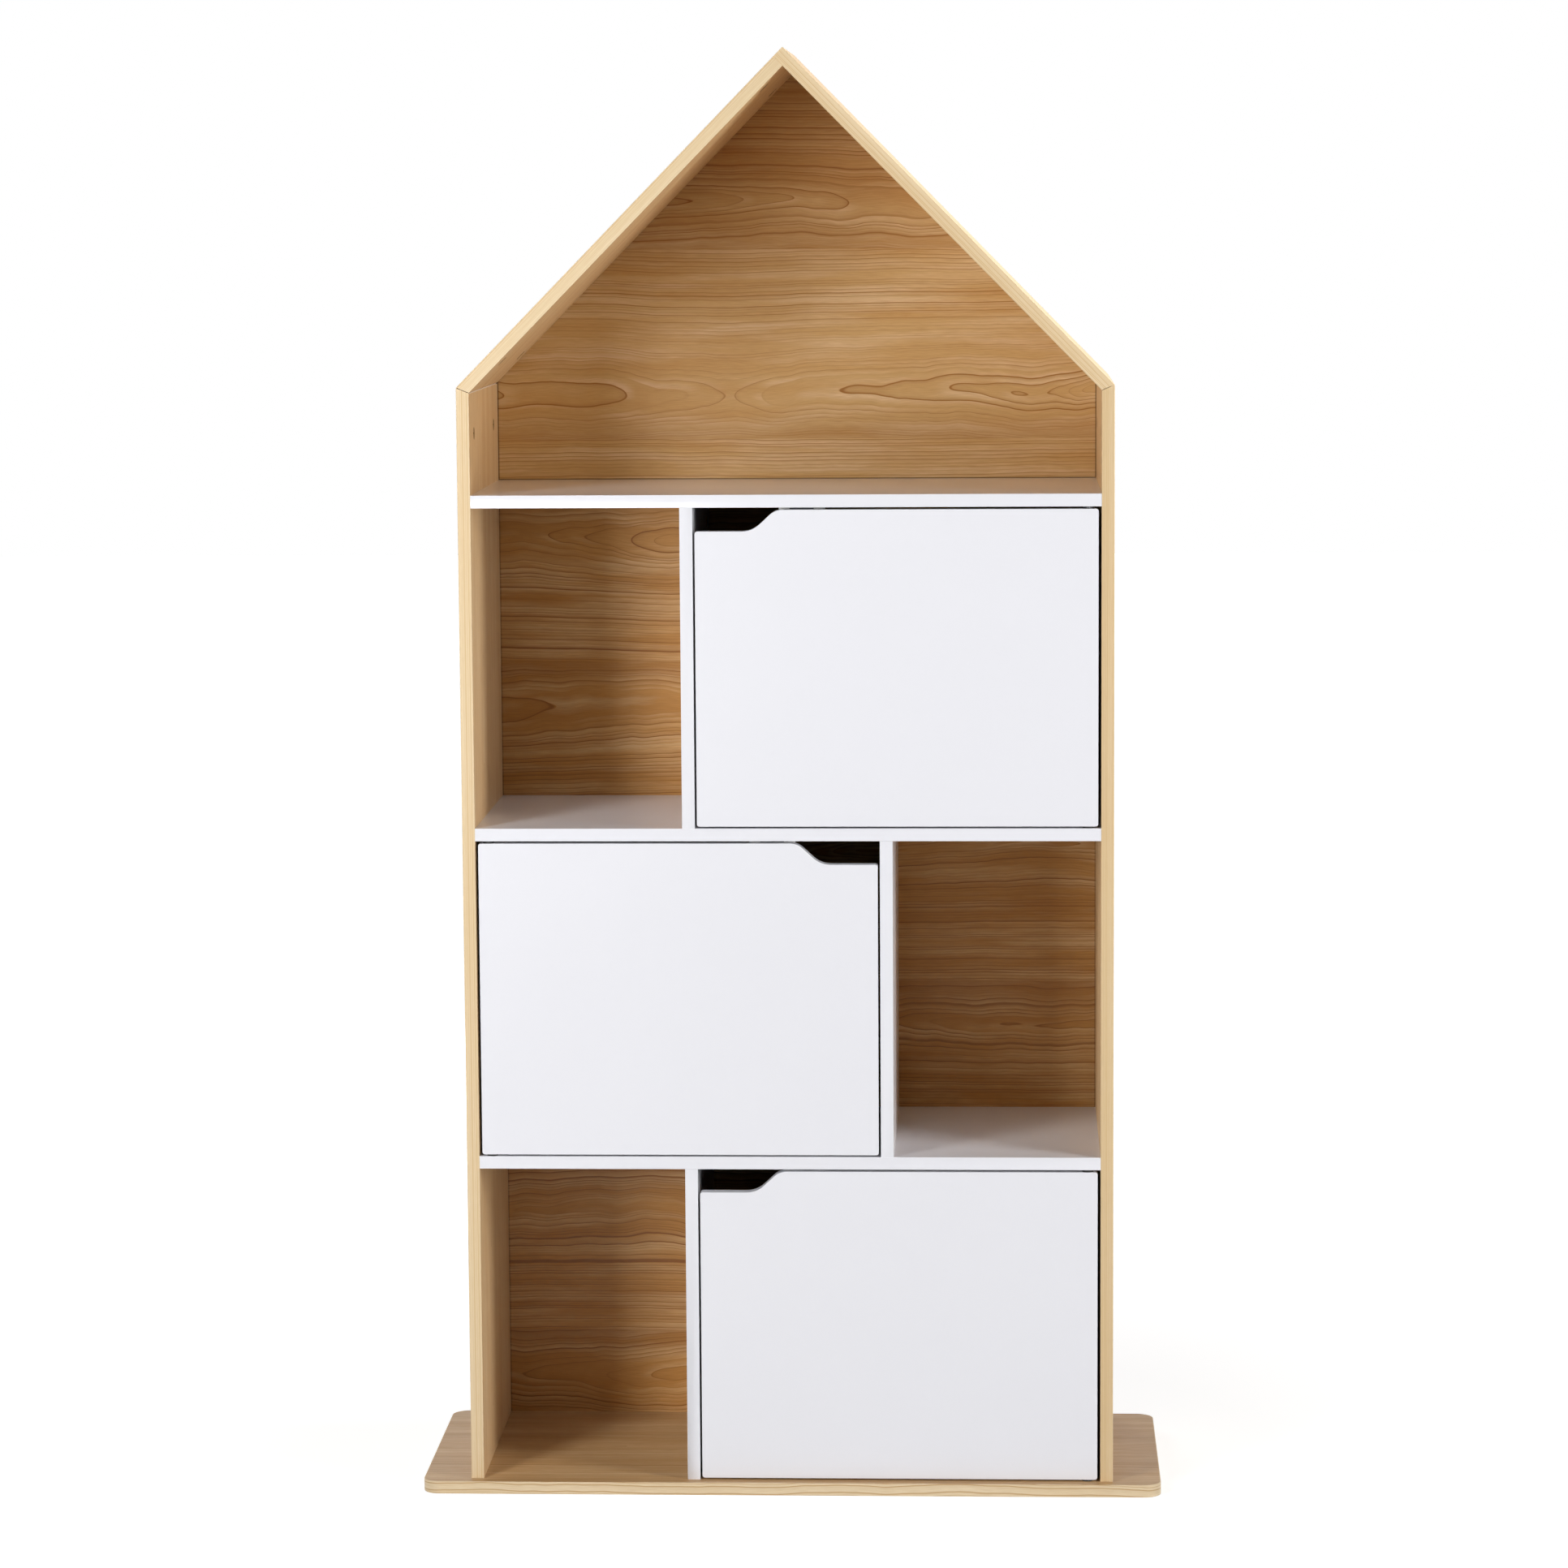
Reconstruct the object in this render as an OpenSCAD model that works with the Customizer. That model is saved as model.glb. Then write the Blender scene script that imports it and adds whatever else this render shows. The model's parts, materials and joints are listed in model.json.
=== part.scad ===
// House shaped bookcase for a child's room: a base board, three rows with one inset
// door each, and an open attic under a gabled roof.
// The origin is the middle of the base board, on the floor. +Z is up, the fronts face
// -Y, and +X is to the right of someone who stands in front of the doors.

/* [Body] */
// Width over the two side panels
body_w = 762; // [680:1:900]
// Depth of the side panels, roof panels, shelves and dividers
body_depth = 318; // [260:1:400]
// Clear height of each row
row_h = 375; // [300:1:420]
// Height of the side panels' outer edges above the top shelf
attic_wall_h = 125; // [90:1:250]
// Pitch of the roof
roof_angle = 45.5; // [35:0.5:60]
// Clear width of the open bay beside each door
open_bay_w = 243; // [180:1:270]

/* [Boards] */
// Thickness of the boards
board_t = 15; // [14:0.5:19]
// Thickness of the boards on the rear
back_t = 3; // [2:0.5:5]
// Gap between two boards on the rear
back_gap = 1; // [0.5:0.1:3]
// Distance of the rear boards' edges from the outer faces of the body
back_inset = 2; // [1:0.5:4]
// Thickness of the edge bands
band_t = 1; // [0.4:0.1:2]

/* [Base board] */
// How far the base board stands out on each side
base_side = 57; // [30:1:100]
// How far the base board stands out in front
base_front = 15; // [5:1:40]
// Radius of the base board's corners
base_corner_r = 20; // [8:1:40]

/* [Doors] */
// Thickness of the doors
door_t = 15; // [14:0.5:18]
// Gap between a door's free edge and its divider
door_free_gap = 2.5; // [1.5:0.1:4]
// Gap between a door's hinged edge and its side panel
door_hinge_gap = 3.5; // [3:0.1:5]
// Gap above a door
door_top_gap = 2.7; // [2.4:0.1:4]
// Gap below a door
door_bottom_gap = 2.3; // [2.3:0.1:4]
// Radius of a door's corners
door_corner_r = 3; // [1:0.5:6]

/* [Finger cut-outs] */
// How far the cut-out lowers a door's top edge
grip_depth = 25; // [16:1:40]
// Length of the level part from the door's free edge
grip_flat = 55; // [35:1:70]
// Radius of the hollow curve at the level part
grip_low_r = 30; // [15:1:40]
// Radius of the round curve at the door's top edge
grip_top_r = 22; // [10:1:30]
// Slope of the straight stretch between the two curves
grip_slope = 43; // [38:1:55]

/* [Pivot hinges] */
// Distance of a pin's axis from the side panel's inner face
pivot_inset = 15; // [14:0.5:17]
// Diameter of the steel pins
pin_d = 5; // [4:0.5:6]
// Clearance all round a pin in the bush that it turns in
pin_play = 0.05; // [0.02:0.01:0.1]
// Wall of the nylon bushes
bush_wall = 1.5; // [1:0.1:2]
// Length of a bush's barrel
bush_l = 11; // [9:0.5:12]
// Floor of a bush's bore
bush_floor = 1; // [0.5:0.1:2]
// How far a bush's flange stands out round its barrel
flange_over = 2.5; // [1.5:0.1:3]
// Thickness of a bush's flange
flange_t = 1; // [0.5:0.1:1]

/* [Magnetic catches] */
// Distance of a catch's middle from the door's free edge
catch_reach = 124; // [115:1:160]
// Length of a catch's housing over its two ears
catch_l = 54; // [50:1:60]
// Depth of a catch's housing
catch_depth = 14; // [12:0.5:18]
// Height of a catch's housing
catch_h = 13; // [12:0.5:15]
// Thickness of the ears
ear_t = 4; // [3:0.5:5]
// Wall of the housing round the magnet
housing_wall = 1.5; // [1:0.1:2]
// Length of the magnet
magnet_l = 28; // [24:1:30]
// Thickness of the steel pole plates
pole_t = 1.2; // [0.8:0.1:1.6]
// How far the pole plates stand out of the housing
pole_out = 0.6; // [0.3:0.1:1]
// Clearance between the pole plates and the strike plate of a closed door
catch_gap = 0.4; // [0.3:0.1:1]
// Length of a strike plate
strike_l = 38; // [30:1:44]
// Height of a strike plate
strike_h = 9; // [8:0.5:9.5]
// Thickness of a strike plate
strike_t = 1.2; // [1:0.1:2]
// How far a strike plate sits below the door's top edge
strike_drop = 0.8; // [0.5:0.1:1.5]
// Diameter of the small screws' shanks
small_screw_d = 3.5; // [3:0.1:4]
// Length of the small screws
small_screw_l = 12; // [10:0.5:13]
// Diameter of the small screws' heads
small_head_d = 6.4; // [6:0.1:7]
// Height of the small screws' heads
small_head_h = 2; // [1.5:0.1:2.5]
// Diameter of the flush heads of the strike plates' screws
flush_head_d = 5.4; // [4.6:0.1:6]

/* [Board joints] */
// Distance of the front and rear joint fittings from the boards' edges
fitting_inset = 50; // [40:1:70]
// Distance from a fitting to the dowel beside it
dowel_step = 32; // [25:1:40]
// Diameter of the cam locks
cam_d = 15; // [12:0.5:16]
// Wood left behind a cam lock
cam_skin = 3; // [2:0.5:4]
// Distance from a joint to its cam locks' axes
cam_setback = 34; // [24:1:40]
// The same distance at the mitred eaves
mitre_setback = 52; // [40:1:56]
// Diameter of the bolts' rods
bolt_d = 6; // [5:0.5:6.5]
// Diameter of the bolts' heads
bolt_head_d = 7; // [7:0.1:7.4]
// Length of the bolts' heads
bolt_head_l = 4; // [3:0.5:5]
// Diameter of the bores for the bolts' rods
bolt_bore_d = 8; // [7.6:0.1:8.6]
// Diameter of the bolts' threaded ends
thread_d = 5; // [4:0.5:6]
// Wood left behind the blind holes in a board's face
drill_skin = 4; // [3:0.5:5]
// Diameter of the wooden dowels
dowel_d = 8; // [6:0.5:8.5]
// Length of the wooden dowels
dowel_l = 30; // [25:1:35]
// Length of the screws through the base board
base_screw_l = 50; // [40:1:60]
// Diameter of the base screws' heads
base_head_d = 10; // [9:0.5:11]
// Diameter of the base screws' plain shanks
base_shank_d = 7; // [6:0.5:7.5]
// Clearance all round dowels, cams, screws and nails in their holes
drill_slack = 0.05; // [0.02:0.01:0.1]

/* [Nails] */
// Greatest distance between two nails
nail_pitch = 150; // [90:1:200]
// Distance of a row's last nails from the boards' ends
nail_end = 20; // [15:1:30]
// Length of a nail
nail_l = 18; // [14:1:22]
// Diameter of a nail's shank
nail_d = 1.4; // [1.2:0.1:1.8]
// Diameter of a nail's head
nail_head_d = 3.2; // [2.8:0.1:4]
// Height of a nail's head
nail_head_h = 0.6; // [0.4:0.1:1]

/* [Hidden] */
$fn = 96;

// Colours of the finished surfaces
oak_face = [0.72, 0.57, 0.40];
oak_edge = [0.88, 0.79, 0.65];
oak_back = [0.60, 0.42, 0.25];
white_board = [0.93, 0.93, 0.95];
white_plastic = [0.90, 0.90, 0.88];
steel = [0.70, 0.70, 0.72];
zinc = [0.62, 0.62, 0.60];
dark_magnet = [0.15, 0.15, 0.16];
beech = [0.82, 0.68, 0.48];

// How far a cut runs past the face that it opens
past = 0.5;

// Side on which each row has its door, from the bottom up: 1 is right, -1 is left
door_sides = [1, -1, 1];
last_row = len(door_sides) - 1;
rows = [for (r = [0:last_row]) r];

// Heights of the rows, and of the shelf that closes each of them
row_floors = [for (r = rows) board_t + r * (row_h + board_t)];
row_ceilings = [for (z = row_floors) z + row_h];
shelf_mids = [for (z = row_ceilings) z + board_t / 2];
attic_z = row_ceilings[last_row] + board_t;

// Widths
side_x = body_w / 2;
inner_x = side_x - board_t;
side_mid_x = side_x - board_t / 2;
divider_xs = [for (s = door_sides) s * (open_bay_w + board_t / 2 - inner_x)];

// Depths
base_w = body_w + 2 * base_side;
base_depth = base_front + body_depth + back_t;
base_y = -base_depth / 2;
front_y = base_y + base_front;
rear_y = front_y + body_depth;
core_y = front_y + band_t;
core_depth = body_depth - band_t;

// Roof
eave_z = attic_z + attic_wall_h;
eave_drop = board_t * tan((90 - roof_angle) / 2);
eave_in_z = eave_z - eave_drop;
mitre_z = eave_z - eave_drop / 2;
// Height of a line that lies under the roof's outer face by some depth
function roof_z(x, depth = 0) =
    eave_z + (side_x - abs(x)) * tan(roof_angle) - depth / cos(roof_angle);
ridge_z = roof_z(0);
ridge_in_z = roof_z(0, board_t);
// Outer corner where the left roof panel ends under the right one
butt_x = -board_t / (2 * sin(roof_angle));
butt_z = roof_z(butt_x);

// Doors
door_w = 2 * inner_x - open_bay_w - board_t - door_free_gap - door_hinge_gap;
door_h = row_h - door_top_gap - door_bottom_gap;
door_mid_y = front_y + door_t / 2;
door_rear_y = front_y + door_t;
// Place of a pin's axis, counted from the door's free edge
pin_reach = door_w + door_hinge_gap - pivot_inset;
pivot_xs = [for (s = door_sides) s * (inner_x - pivot_inset)];
free_edge_xs = [for (s = door_sides) s * (inner_x - door_hinge_gap - door_w)];
bush_d = pin_d + 2 * bush_wall;
flange_d = bush_d + 2 * flange_over;
bore_l = bush_l - bush_floor;
pin_end_room = 0.5;

// Finger cut-out: its straight stretch, and where the curves meet the level edges
grip_radii = grip_low_r + grip_top_r;
grip_straight = (grip_depth - grip_radii * (1 - cos(grip_slope))) / sin(grip_slope);
grip_end = grip_flat + grip_radii * sin(grip_slope) + grip_straight * cos(grip_slope);

// Catches
catch_y = door_rear_y + strike_t + catch_gap + pole_out;
magnet_d = catch_depth - housing_wall;
pole_h = catch_h - 2 * housing_wall;
ear_l = (catch_l - magnet_l) / 2 - housing_wall;
ear_mid = catch_l / 2 - ear_l / 2;
ear_corner_r = 3;
slot_travel = 2;
catch_xs = [for (r = rows) free_edge_xs[r] + door_sides[r] * catch_reach];
strike_z = door_h - strike_drop - strike_h / 2;
strike_corner_r = 2;

// Board joints
cam_h = board_t - cam_skin;
face_drill = board_t - drill_skin;
cam_slot_l = 9;
cam_slot_w = 1.6;
cam_slot_depth = 2;
dowel_bevel = 1;
dowel_end_room = 1;
base_head_h = 3;
base_thread_d = 5;
fitting_ys = [front_y + fitting_inset, rear_y - fitting_inset];
dowel_ys = [fitting_ys[0] + dowel_step, fitting_ys[1] - dowel_step];

// A joint is the place where a board ends against another one: its X and Z, the
// direction in which the ending board leaves it, and the side of that board that
// holds the cam locks (1 is to the left of the direction, -1 to its right).
function shelf_joints(r) = [
    [-inner_x, shelf_mids[r], 0, -1],
    [inner_x, shelf_mids[r], 180, 1]
];
function foot_joint(r) = [divider_xs[r], row_floors[r], 90, -door_sides[r]];
function head_joint(r) = [divider_xs[r], row_ceilings[r], -90, door_sides[r]];
ridge_joint = [butt_x / 2, (butt_z + ridge_in_z) / 2, 180 + roof_angle, 1];
base_joints = [
    [-side_mid_x, board_t, 90, 1],
    [side_mid_x, board_t, 90, 1],
    foot_joint(0)
];
function wall_eave(s) = [s * side_mid_x, mitre_z, -90, -s];
function roof_eave(s) = [s * side_mid_x, mitre_z, s < 0 ? roof_angle : 180 - roof_angle, s];

all_shelf_joints = [for (r = rows) each shelf_joints(r)];
all_divider_joints = [for (r = rows) each r == 0 ? [head_joint(r)] : [foot_joint(r), head_joint(r)]];
all_eave_arms = [for (s = [-1, 1]) each [wall_eave(s), roof_eave(s)]];
all_cam_joints = concat(all_shelf_joints, all_divider_joints, [ridge_joint]);
all_dowel_joints = concat(all_cam_joints, base_joints);

// Even steps from one end to the other, none longer than the nails' pitch
function steps(a, b) = let (n = ceil((b - a) / nail_pitch)) [for (i = [0:n]) a + (b - a) * i / n];

// Nails as [x, z], by the board that they are driven into
roof_slope_l = side_mid_x / cos(roof_angle);
function shelf_nails(r) = [
    for (x = steps(-inner_x + nail_end, inner_x - nail_end), side = [-1, 1])
        [x, shelf_mids[r] + side * board_t / 4]
];
function divider_nails(r) = [
    for (z = steps(row_floors[r] + row_h / 4, row_ceilings[r] - row_h / 4)) [divider_xs[r], z]
];
function wall_nails(s) = [
    for (r = rows, z = steps(row_floors[r] + nail_end, row_ceilings[r] - nail_end))
        [s * side_mid_x, z],
    for (z = steps(attic_z + nail_end, eave_in_z - nail_end)) [s * side_mid_x, z]
];
function roof_nails(s) = [
    for (t = steps(nail_end, roof_slope_l - nail_end))
        [s * (side_mid_x - t * cos(roof_angle)), mitre_z + t * sin(roof_angle)]
];
all_nails = concat(
    [for (r = rows) each concat(shelf_nails(r), divider_nails(r))],
    [for (s = [-1, 1]) each concat(wall_nails(s), roof_nails(s))]
);

// ---------------------------------------------------------------- shared shapes

// Gives depth to a profile drawn in X and Z, from y towards the rear
module slab(y, depth) {
    translate([0, y + depth, 0])
        rotate([90, 0, 0])
            linear_extrude(depth)
                children();
}

// Rectangle with round corners, its first corner at the origin
module round_rect(w, h, r) {
    translate([r, 0])
        square([w - 2 * r, h]);
    translate([0, r])
        square([w, h - 2 * r]);
    for (x = [r, w - r], y = [r, h - r])
        translate([x, y])
            circle(r);
}

// Cylinder that lies along X from one place to another
module rod(x0, x1, d, d_end = 0) {
    translate([x0, 0, 0])
        rotate([0, 90, 0])
            cylinder(h = x1 - x0, d1 = d, d2 = d_end > 0 ? d_end : d);
}

// Puts a shape at each joint and depth: local X leaves the joint along the ending
// board's middle, local Z points at the face that holds the cam locks
module at_joints(joints, ys) {
    for (j = joints, y = ys)
        translate([j[0], y, j[1]])
            rotate([0, -j[2], 0])
                rotate([j[3] < 0 ? 180 : 0, 0, 0])
                    children();
}

// Puts a door's own pieces in place: local X runs from the free edge to the hinge,
// local Z from the door's bottom edge up
module at_door(r) {
    translate([free_edge_xs[r], 0, row_floors[r] + door_bottom_gap])
        if (door_sides[r] < 0) {
            mirror([1, 0, 0])
                children();
        } else {
            children();
        }
}

// Puts a catch's pieces in place: local origin at the housing's front, middle and top
module at_catch(r) {
    translate([catch_xs[r], catch_y, row_ceilings[r]])
        children();
}

// ---------------------------------------------------------------- fasteners

// Cam lock, with a hole for the bolt's head and a cross slot for the screwdriver
module cam_lock(setback) {
    difference() {
        translate([setback, 0, board_t / 2 - cam_h])
            cylinder(d = cam_d, h = cam_h);
        rod(0, setback + bolt_head_l / 2 + drill_slack, bolt_head_d + 2 * drill_slack);
        for (turn = [0, 90])
            translate([setback, 0, board_t / 2])
                rotate([0, 0, turn])
                    cube([cam_slot_l, cam_slot_w, 2 * cam_slot_depth], center = true);
    }
}

// Pocket for a cam lock, in the ending board
module cam_pocket(setback) {
    translate([setback, 0, board_t / 2 - cam_h])
        cylinder(d = cam_d + 2 * drill_slack, h = cam_h + past);
}

// Bolt that is screwed into the other board's face and held by a cam lock at its head
module cam_bolt() {
    rod(-face_drill, 0, thread_d);
    rod(0, cam_setback, bolt_d);
    rod(cam_setback - bolt_head_l / 2, cam_setback + bolt_head_l / 2, bolt_head_d);
}

module cam_holes(joints) {
    at_joints(joints, fitting_ys) {
        cam_pocket(cam_setback);
        rod(0, cam_setback, bolt_bore_d);
        rod(-face_drill, past, thread_d + 2 * drill_slack);
    }
}

// One arm of a double ended bolt, from the middle of a mitre
module mitre_arm() {
    rod(0, mitre_setback, bolt_d);
    rod(mitre_setback - bolt_head_l / 2, mitre_setback + bolt_head_l / 2, bolt_head_d);
}

module mitre_holes(arm) {
    at_joints([arm], fitting_ys) {
        cam_pocket(mitre_setback);
        rod(-board_t, mitre_setback, bolt_bore_d);
    }
}

// Bevelled dowel, set as deep into the other board's face as the bolts are
module dowel() {
    plain_end = dowel_l - face_drill - dowel_bevel;
    rod(-face_drill, dowel_bevel - face_drill, dowel_d - 2 * dowel_bevel, dowel_d);
    rod(dowel_bevel - face_drill, plain_end, dowel_d);
    rod(plain_end, plain_end + dowel_bevel, dowel_d, dowel_d - 2 * dowel_bevel);
}

module dowel_holes(joints) {
    at_joints(joints, dowel_ys)
        rod(-face_drill, dowel_l - face_drill + dowel_end_room, dowel_d + 2 * drill_slack);
}

module joint_holes(joints) {
    cam_holes(joints);
    dowel_holes(joints);
}

// Screw from the base board's underside up into the board that stands on it
module base_screw(slack = 0) {
    rod(-board_t, base_head_h - board_t, base_head_d + 2 * slack, base_shank_d + 2 * slack);
    rod(base_head_h - board_t, 0, base_shank_d + 2 * slack);
    rod(0, base_screw_l - board_t, base_thread_d + 2 * slack);
}

module base_holes(joints) {
    at_joints(joints, fitting_ys)
        base_screw(drill_slack);
    dowel_holes(joints);
}

module nails(places, slack = 0) {
    for (p = places)
        translate([p[0], rear_y + back_t, p[1]])
            rotate([90, 0, 0]) {
                cylinder(d = nail_head_d + 2 * slack, h = nail_head_h);
                cylinder(d = nail_d + 2 * slack, h = nail_l);
            }
}

// Bush with its flange under the origin and its barrel above it
module bush(bore_d) {
    difference() {
        union() {
            translate([0, 0, -flange_t])
                cylinder(d = flange_d, h = flange_t);
            cylinder(d = bush_d, h = bush_l);
        }
        translate([0, 0, -flange_t - past])
            cylinder(d = bore_d, h = flange_t + past + bore_l);
    }
}

// Puts a bush, or its hole, at the face of the board above or below a door
module at_pivot(r, z, up) {
    translate([pivot_xs[r], door_mid_y, z])
        rotate([up ? 0 : 180, 0, 0])
            children();
}

module bush_hole() {
    cylinder(d = bush_d + 2 * drill_slack, h = bush_l);
}

// Pan headed screw, its head's underside at the origin and its shank above it
module pan_screw(slack = 0) {
    translate([0, 0, -small_head_h])
        cylinder(d1 = small_head_d - small_head_h, d2 = small_head_d, h = small_head_h);
    cylinder(d = small_screw_d + 2 * slack, h = small_screw_l);
}

module at_catch_screws(r) {
    at_catch(r)
        for (s = [-1, 1])
            translate([s * ear_mid, catch_depth / 2, -ear_t])
                children();
}

// Holes that a board gets for the door below it: a bush and the catch's screws
module holes_over_door(r) {
    at_pivot(r, row_ceilings[r], true)
        bush_hole();
    at_catch_screws(r)
        pan_screw(drill_slack);
}

// Hole that a board gets for the door above it
module holes_under_door(r) {
    at_pivot(r, row_floors[r], false)
        bush_hole();
}

// ---------------------------------------------------------------- base board

module base_outline(inset) {
    w = base_w - 2 * inset;
    translate([-w / 2, base_y + inset])
        round_rect(w, base_depth - 2 * inset, base_corner_r - inset);
}

module base_board() {
    color(oak_face)
        difference() {
            linear_extrude(board_t)
                base_outline(band_t);
            base_holes(base_joints);
            holes_under_door(0);
        }
}

module base_edge_band() {
    color(oak_edge)
        linear_extrude(board_t)
            difference() {
                base_outline(0);
                base_outline(band_t);
            }
}

// ---------------------------------------------------------------- side panels

// Upright with a mitred top, on the left for -1 and on the right for 1
module wall_outline(s) {
    polygon([
        [s * side_x, board_t],
        [s * side_x, eave_z],
        [s * inner_x, eave_in_z],
        [s * inner_x, board_t]
    ]);
}

module side_panel(s) {
    color(oak_face)
        difference() {
            slab(core_y, core_depth)
                wall_outline(s);
            joint_holes([for (r = rows) shelf_joints(r)[s < 0 ? 0 : 1]]);
            base_holes([base_joints[s < 0 ? 0 : 1]]);
            mitre_holes(wall_eave(s));
            nails(wall_nails(s), drill_slack);
        }
}

module side_edge_band(s) {
    color(oak_edge)
        slab(front_y, band_t)
            wall_outline(s);
}

module left_side_panel() side_panel(-1);
module right_side_panel() side_panel(1);
module left_side_edge_band() side_edge_band(-1);
module right_side_edge_band() side_edge_band(1);

// ---------------------------------------------------------------- roof panels

// Mitred at the eave. It ends against the underside of the right panel.
module left_roof_outline() {
    polygon([
        [-side_x, eave_z],
        [-inner_x, eave_in_z],
        [0, ridge_in_z],
        [butt_x, butt_z]
    ]);
}

// Mitred at the eave. It runs through to the ridge.
module right_roof_outline() {
    polygon([
        [side_x, eave_z],
        [0, ridge_z],
        [butt_x, butt_z],
        [inner_x, eave_in_z]
    ]);
}

module roof_panel(s) {
    color(oak_face)
        difference() {
            slab(core_y, core_depth)
                children();
            joint_holes([ridge_joint]);
            mitre_holes(roof_eave(s));
            nails(roof_nails(s), drill_slack);
        }
}

module left_roof_panel() roof_panel(-1) left_roof_outline();
module right_roof_panel() roof_panel(1) right_roof_outline();

module left_roof_edge_band() {
    color(oak_edge)
        slab(front_y, band_t)
            left_roof_outline();
}

module right_roof_edge_band() {
    color(oak_edge)
        slab(front_y, band_t)
            right_roof_outline();
}

// ---------------------------------------------------------------- shelves and dividers

// The shelf that closes a row
module shelf(r) {
    color(white_board)
        difference() {
            translate([-inner_x, front_y, row_ceilings[r]])
                cube([2 * inner_x, body_depth, board_t]);
            joint_holes(concat(shelf_joints(r), [head_joint(r)]));
            holes_over_door(r);
            nails(shelf_nails(r), drill_slack);
            if (r < last_row) {
                joint_holes([foot_joint(r + 1)]);
                holes_under_door(r + 1);
            }
        }
}

module lower_shelf() shelf(0);
module middle_shelf() shelf(1);
module top_shelf() shelf(2);

module divider(r) {
    color(white_board)
        difference() {
            translate([divider_xs[r] - board_t / 2, front_y, row_floors[r]])
                cube([board_t, body_depth, row_h]);
            joint_holes([head_joint(r)]);
            if (r == 0)
                base_holes([foot_joint(r)]);
            else
                joint_holes([foot_joint(r)]);
            nails(divider_nails(r), drill_slack);
        }
}

module bottom_row_divider() divider(0);
module middle_row_divider() divider(1);
module top_row_divider() divider(2);

// ---------------------------------------------------------------- boards on the rear

// The board behind a row. The lowest one stands on the base board.
module row_back(r) {
    x = side_x - back_inset;
    low_z = r == 0 ? board_t : shelf_mids[r - 1] + back_gap / 2;
    high_z = shelf_mids[r] - back_gap / 2;
    color(oak_back)
        difference() {
            slab(rear_y, back_t)
                translate([-x, low_z])
                    square([2 * x, high_z - low_z]);
            nails([for (p = all_nails) if (p[1] > low_z && p[1] < high_z) p], drill_slack);
        }
}

module bottom_row_back() row_back(0);
module middle_row_back() row_back(1);
module top_row_back() row_back(2);

module attic_back() {
    x = side_x - back_inset;
    low_z = shelf_mids[last_row] + back_gap / 2;
    color(oak_back)
        difference() {
            slab(rear_y, back_t)
                polygon([
                    [-x, low_z],
                    [x, low_z],
                    [x, roof_z(x, back_inset)],
                    [0, roof_z(0, back_inset)],
                    [-x, roof_z(x, back_inset)]
                ]);
            nails([for (p = all_nails) if (p[1] > low_z) p], drill_slack);
        }
}

module back_nails() color(steel) nails(all_nails);

// ---------------------------------------------------------------- doors

// What the cut-out takes from a door's outline, from its free edge on
module grip_cut() {
    low_z = door_h - grip_depth;
    low_end = [
        grip_flat + grip_low_r * sin(grip_slope),
        low_z + grip_low_r * (1 - cos(grip_slope))
    ];
    top_start = [
        grip_end - grip_top_r * sin(grip_slope),
        door_h - grip_top_r * (1 - cos(grip_slope))
    ];
    difference() {
        union() {
            polygon([
                [-past, door_h + past],
                [-past, low_z],
                [grip_flat, low_z],
                low_end,
                top_start,
                [grip_end, door_h],
                [grip_end, door_h + past]
            ]);
            translate([grip_flat, low_z + grip_low_r])
                circle(grip_low_r);
        }
        translate([grip_end, door_h - grip_top_r])
            circle(grip_top_r);
    }
    // Rounds the corner between the level part and the free edge
    difference() {
        translate([-past, low_z - door_corner_r])
            square([door_corner_r + past, door_corner_r + past]);
        translate([door_corner_r, low_z - door_corner_r])
            circle(door_corner_r);
    }
}

module door(r) {
    color(white_board)
        at_door(r)
            difference() {
                slab(front_y, door_t)
                    difference() {
                        round_rect(door_w, door_h, door_corner_r);
                        grip_cut();
                    }
                translate([pin_reach, door_mid_y, 0])
                    bush_hole();
                translate([pin_reach, door_mid_y, door_h - bush_l])
                    bush_hole();
                strike_screw_place()
                    strike_screw_shape(drill_slack);
            }
}

module bottom_door() door(0);
module middle_door() door(1);
module top_door() door(2);

// Pin from a door bush's floor to just short of the floor of the board's bush
module pin(gap) {
    cylinder(d = pin_d, h = 2 * bore_l + gap - pin_end_room);
}

module door_pins(r) {
    color(steel)
        at_door(r)
            translate([pin_reach, door_mid_y, 0]) {
                translate([0, 0, door_h - bore_l])
                    pin(door_top_gap);
                translate([0, 0, bore_l])
                    rotate([180, 0, 0])
                        pin(door_bottom_gap);
            }
}

module bottom_door_pins() door_pins(0);
module middle_door_pins() door_pins(1);
module top_door_pins() door_pins(2);

module door_bushes(r) {
    color(white_plastic)
        at_door(r)
            translate([pin_reach, door_mid_y, 0]) {
                bush(pin_d);
                translate([0, 0, door_h])
                    rotate([180, 0, 0])
                        bush(pin_d);
            }
}

module bottom_door_bushes() door_bushes(0);
module middle_door_bushes() door_bushes(1);
module top_door_bushes() door_bushes(2);

// Bushes in the boards, above and below each door
module board_bushes() {
    color(white_plastic)
        for (r = rows) {
            at_pivot(r, row_floors[r], false)
                bush(pin_d + 2 * pin_play);
            at_pivot(r, row_ceilings[r], true)
                bush(pin_d + 2 * pin_play);
        }
}

// ---------------------------------------------------------------- catches

module strike_screw_place() {
    translate([catch_reach, door_rear_y + strike_t, strike_z])
        rotate([90, 0, 0])
            children();
}

// Flush screw, its head's face at the origin and its shank above it
module strike_screw_shape(slack = 0) {
    cylinder(d1 = flush_head_d + 2 * slack, d2 = small_screw_d + 2 * slack, h = strike_t);
    cylinder(d = small_screw_d + 2 * slack, h = small_screw_l);
}

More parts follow.
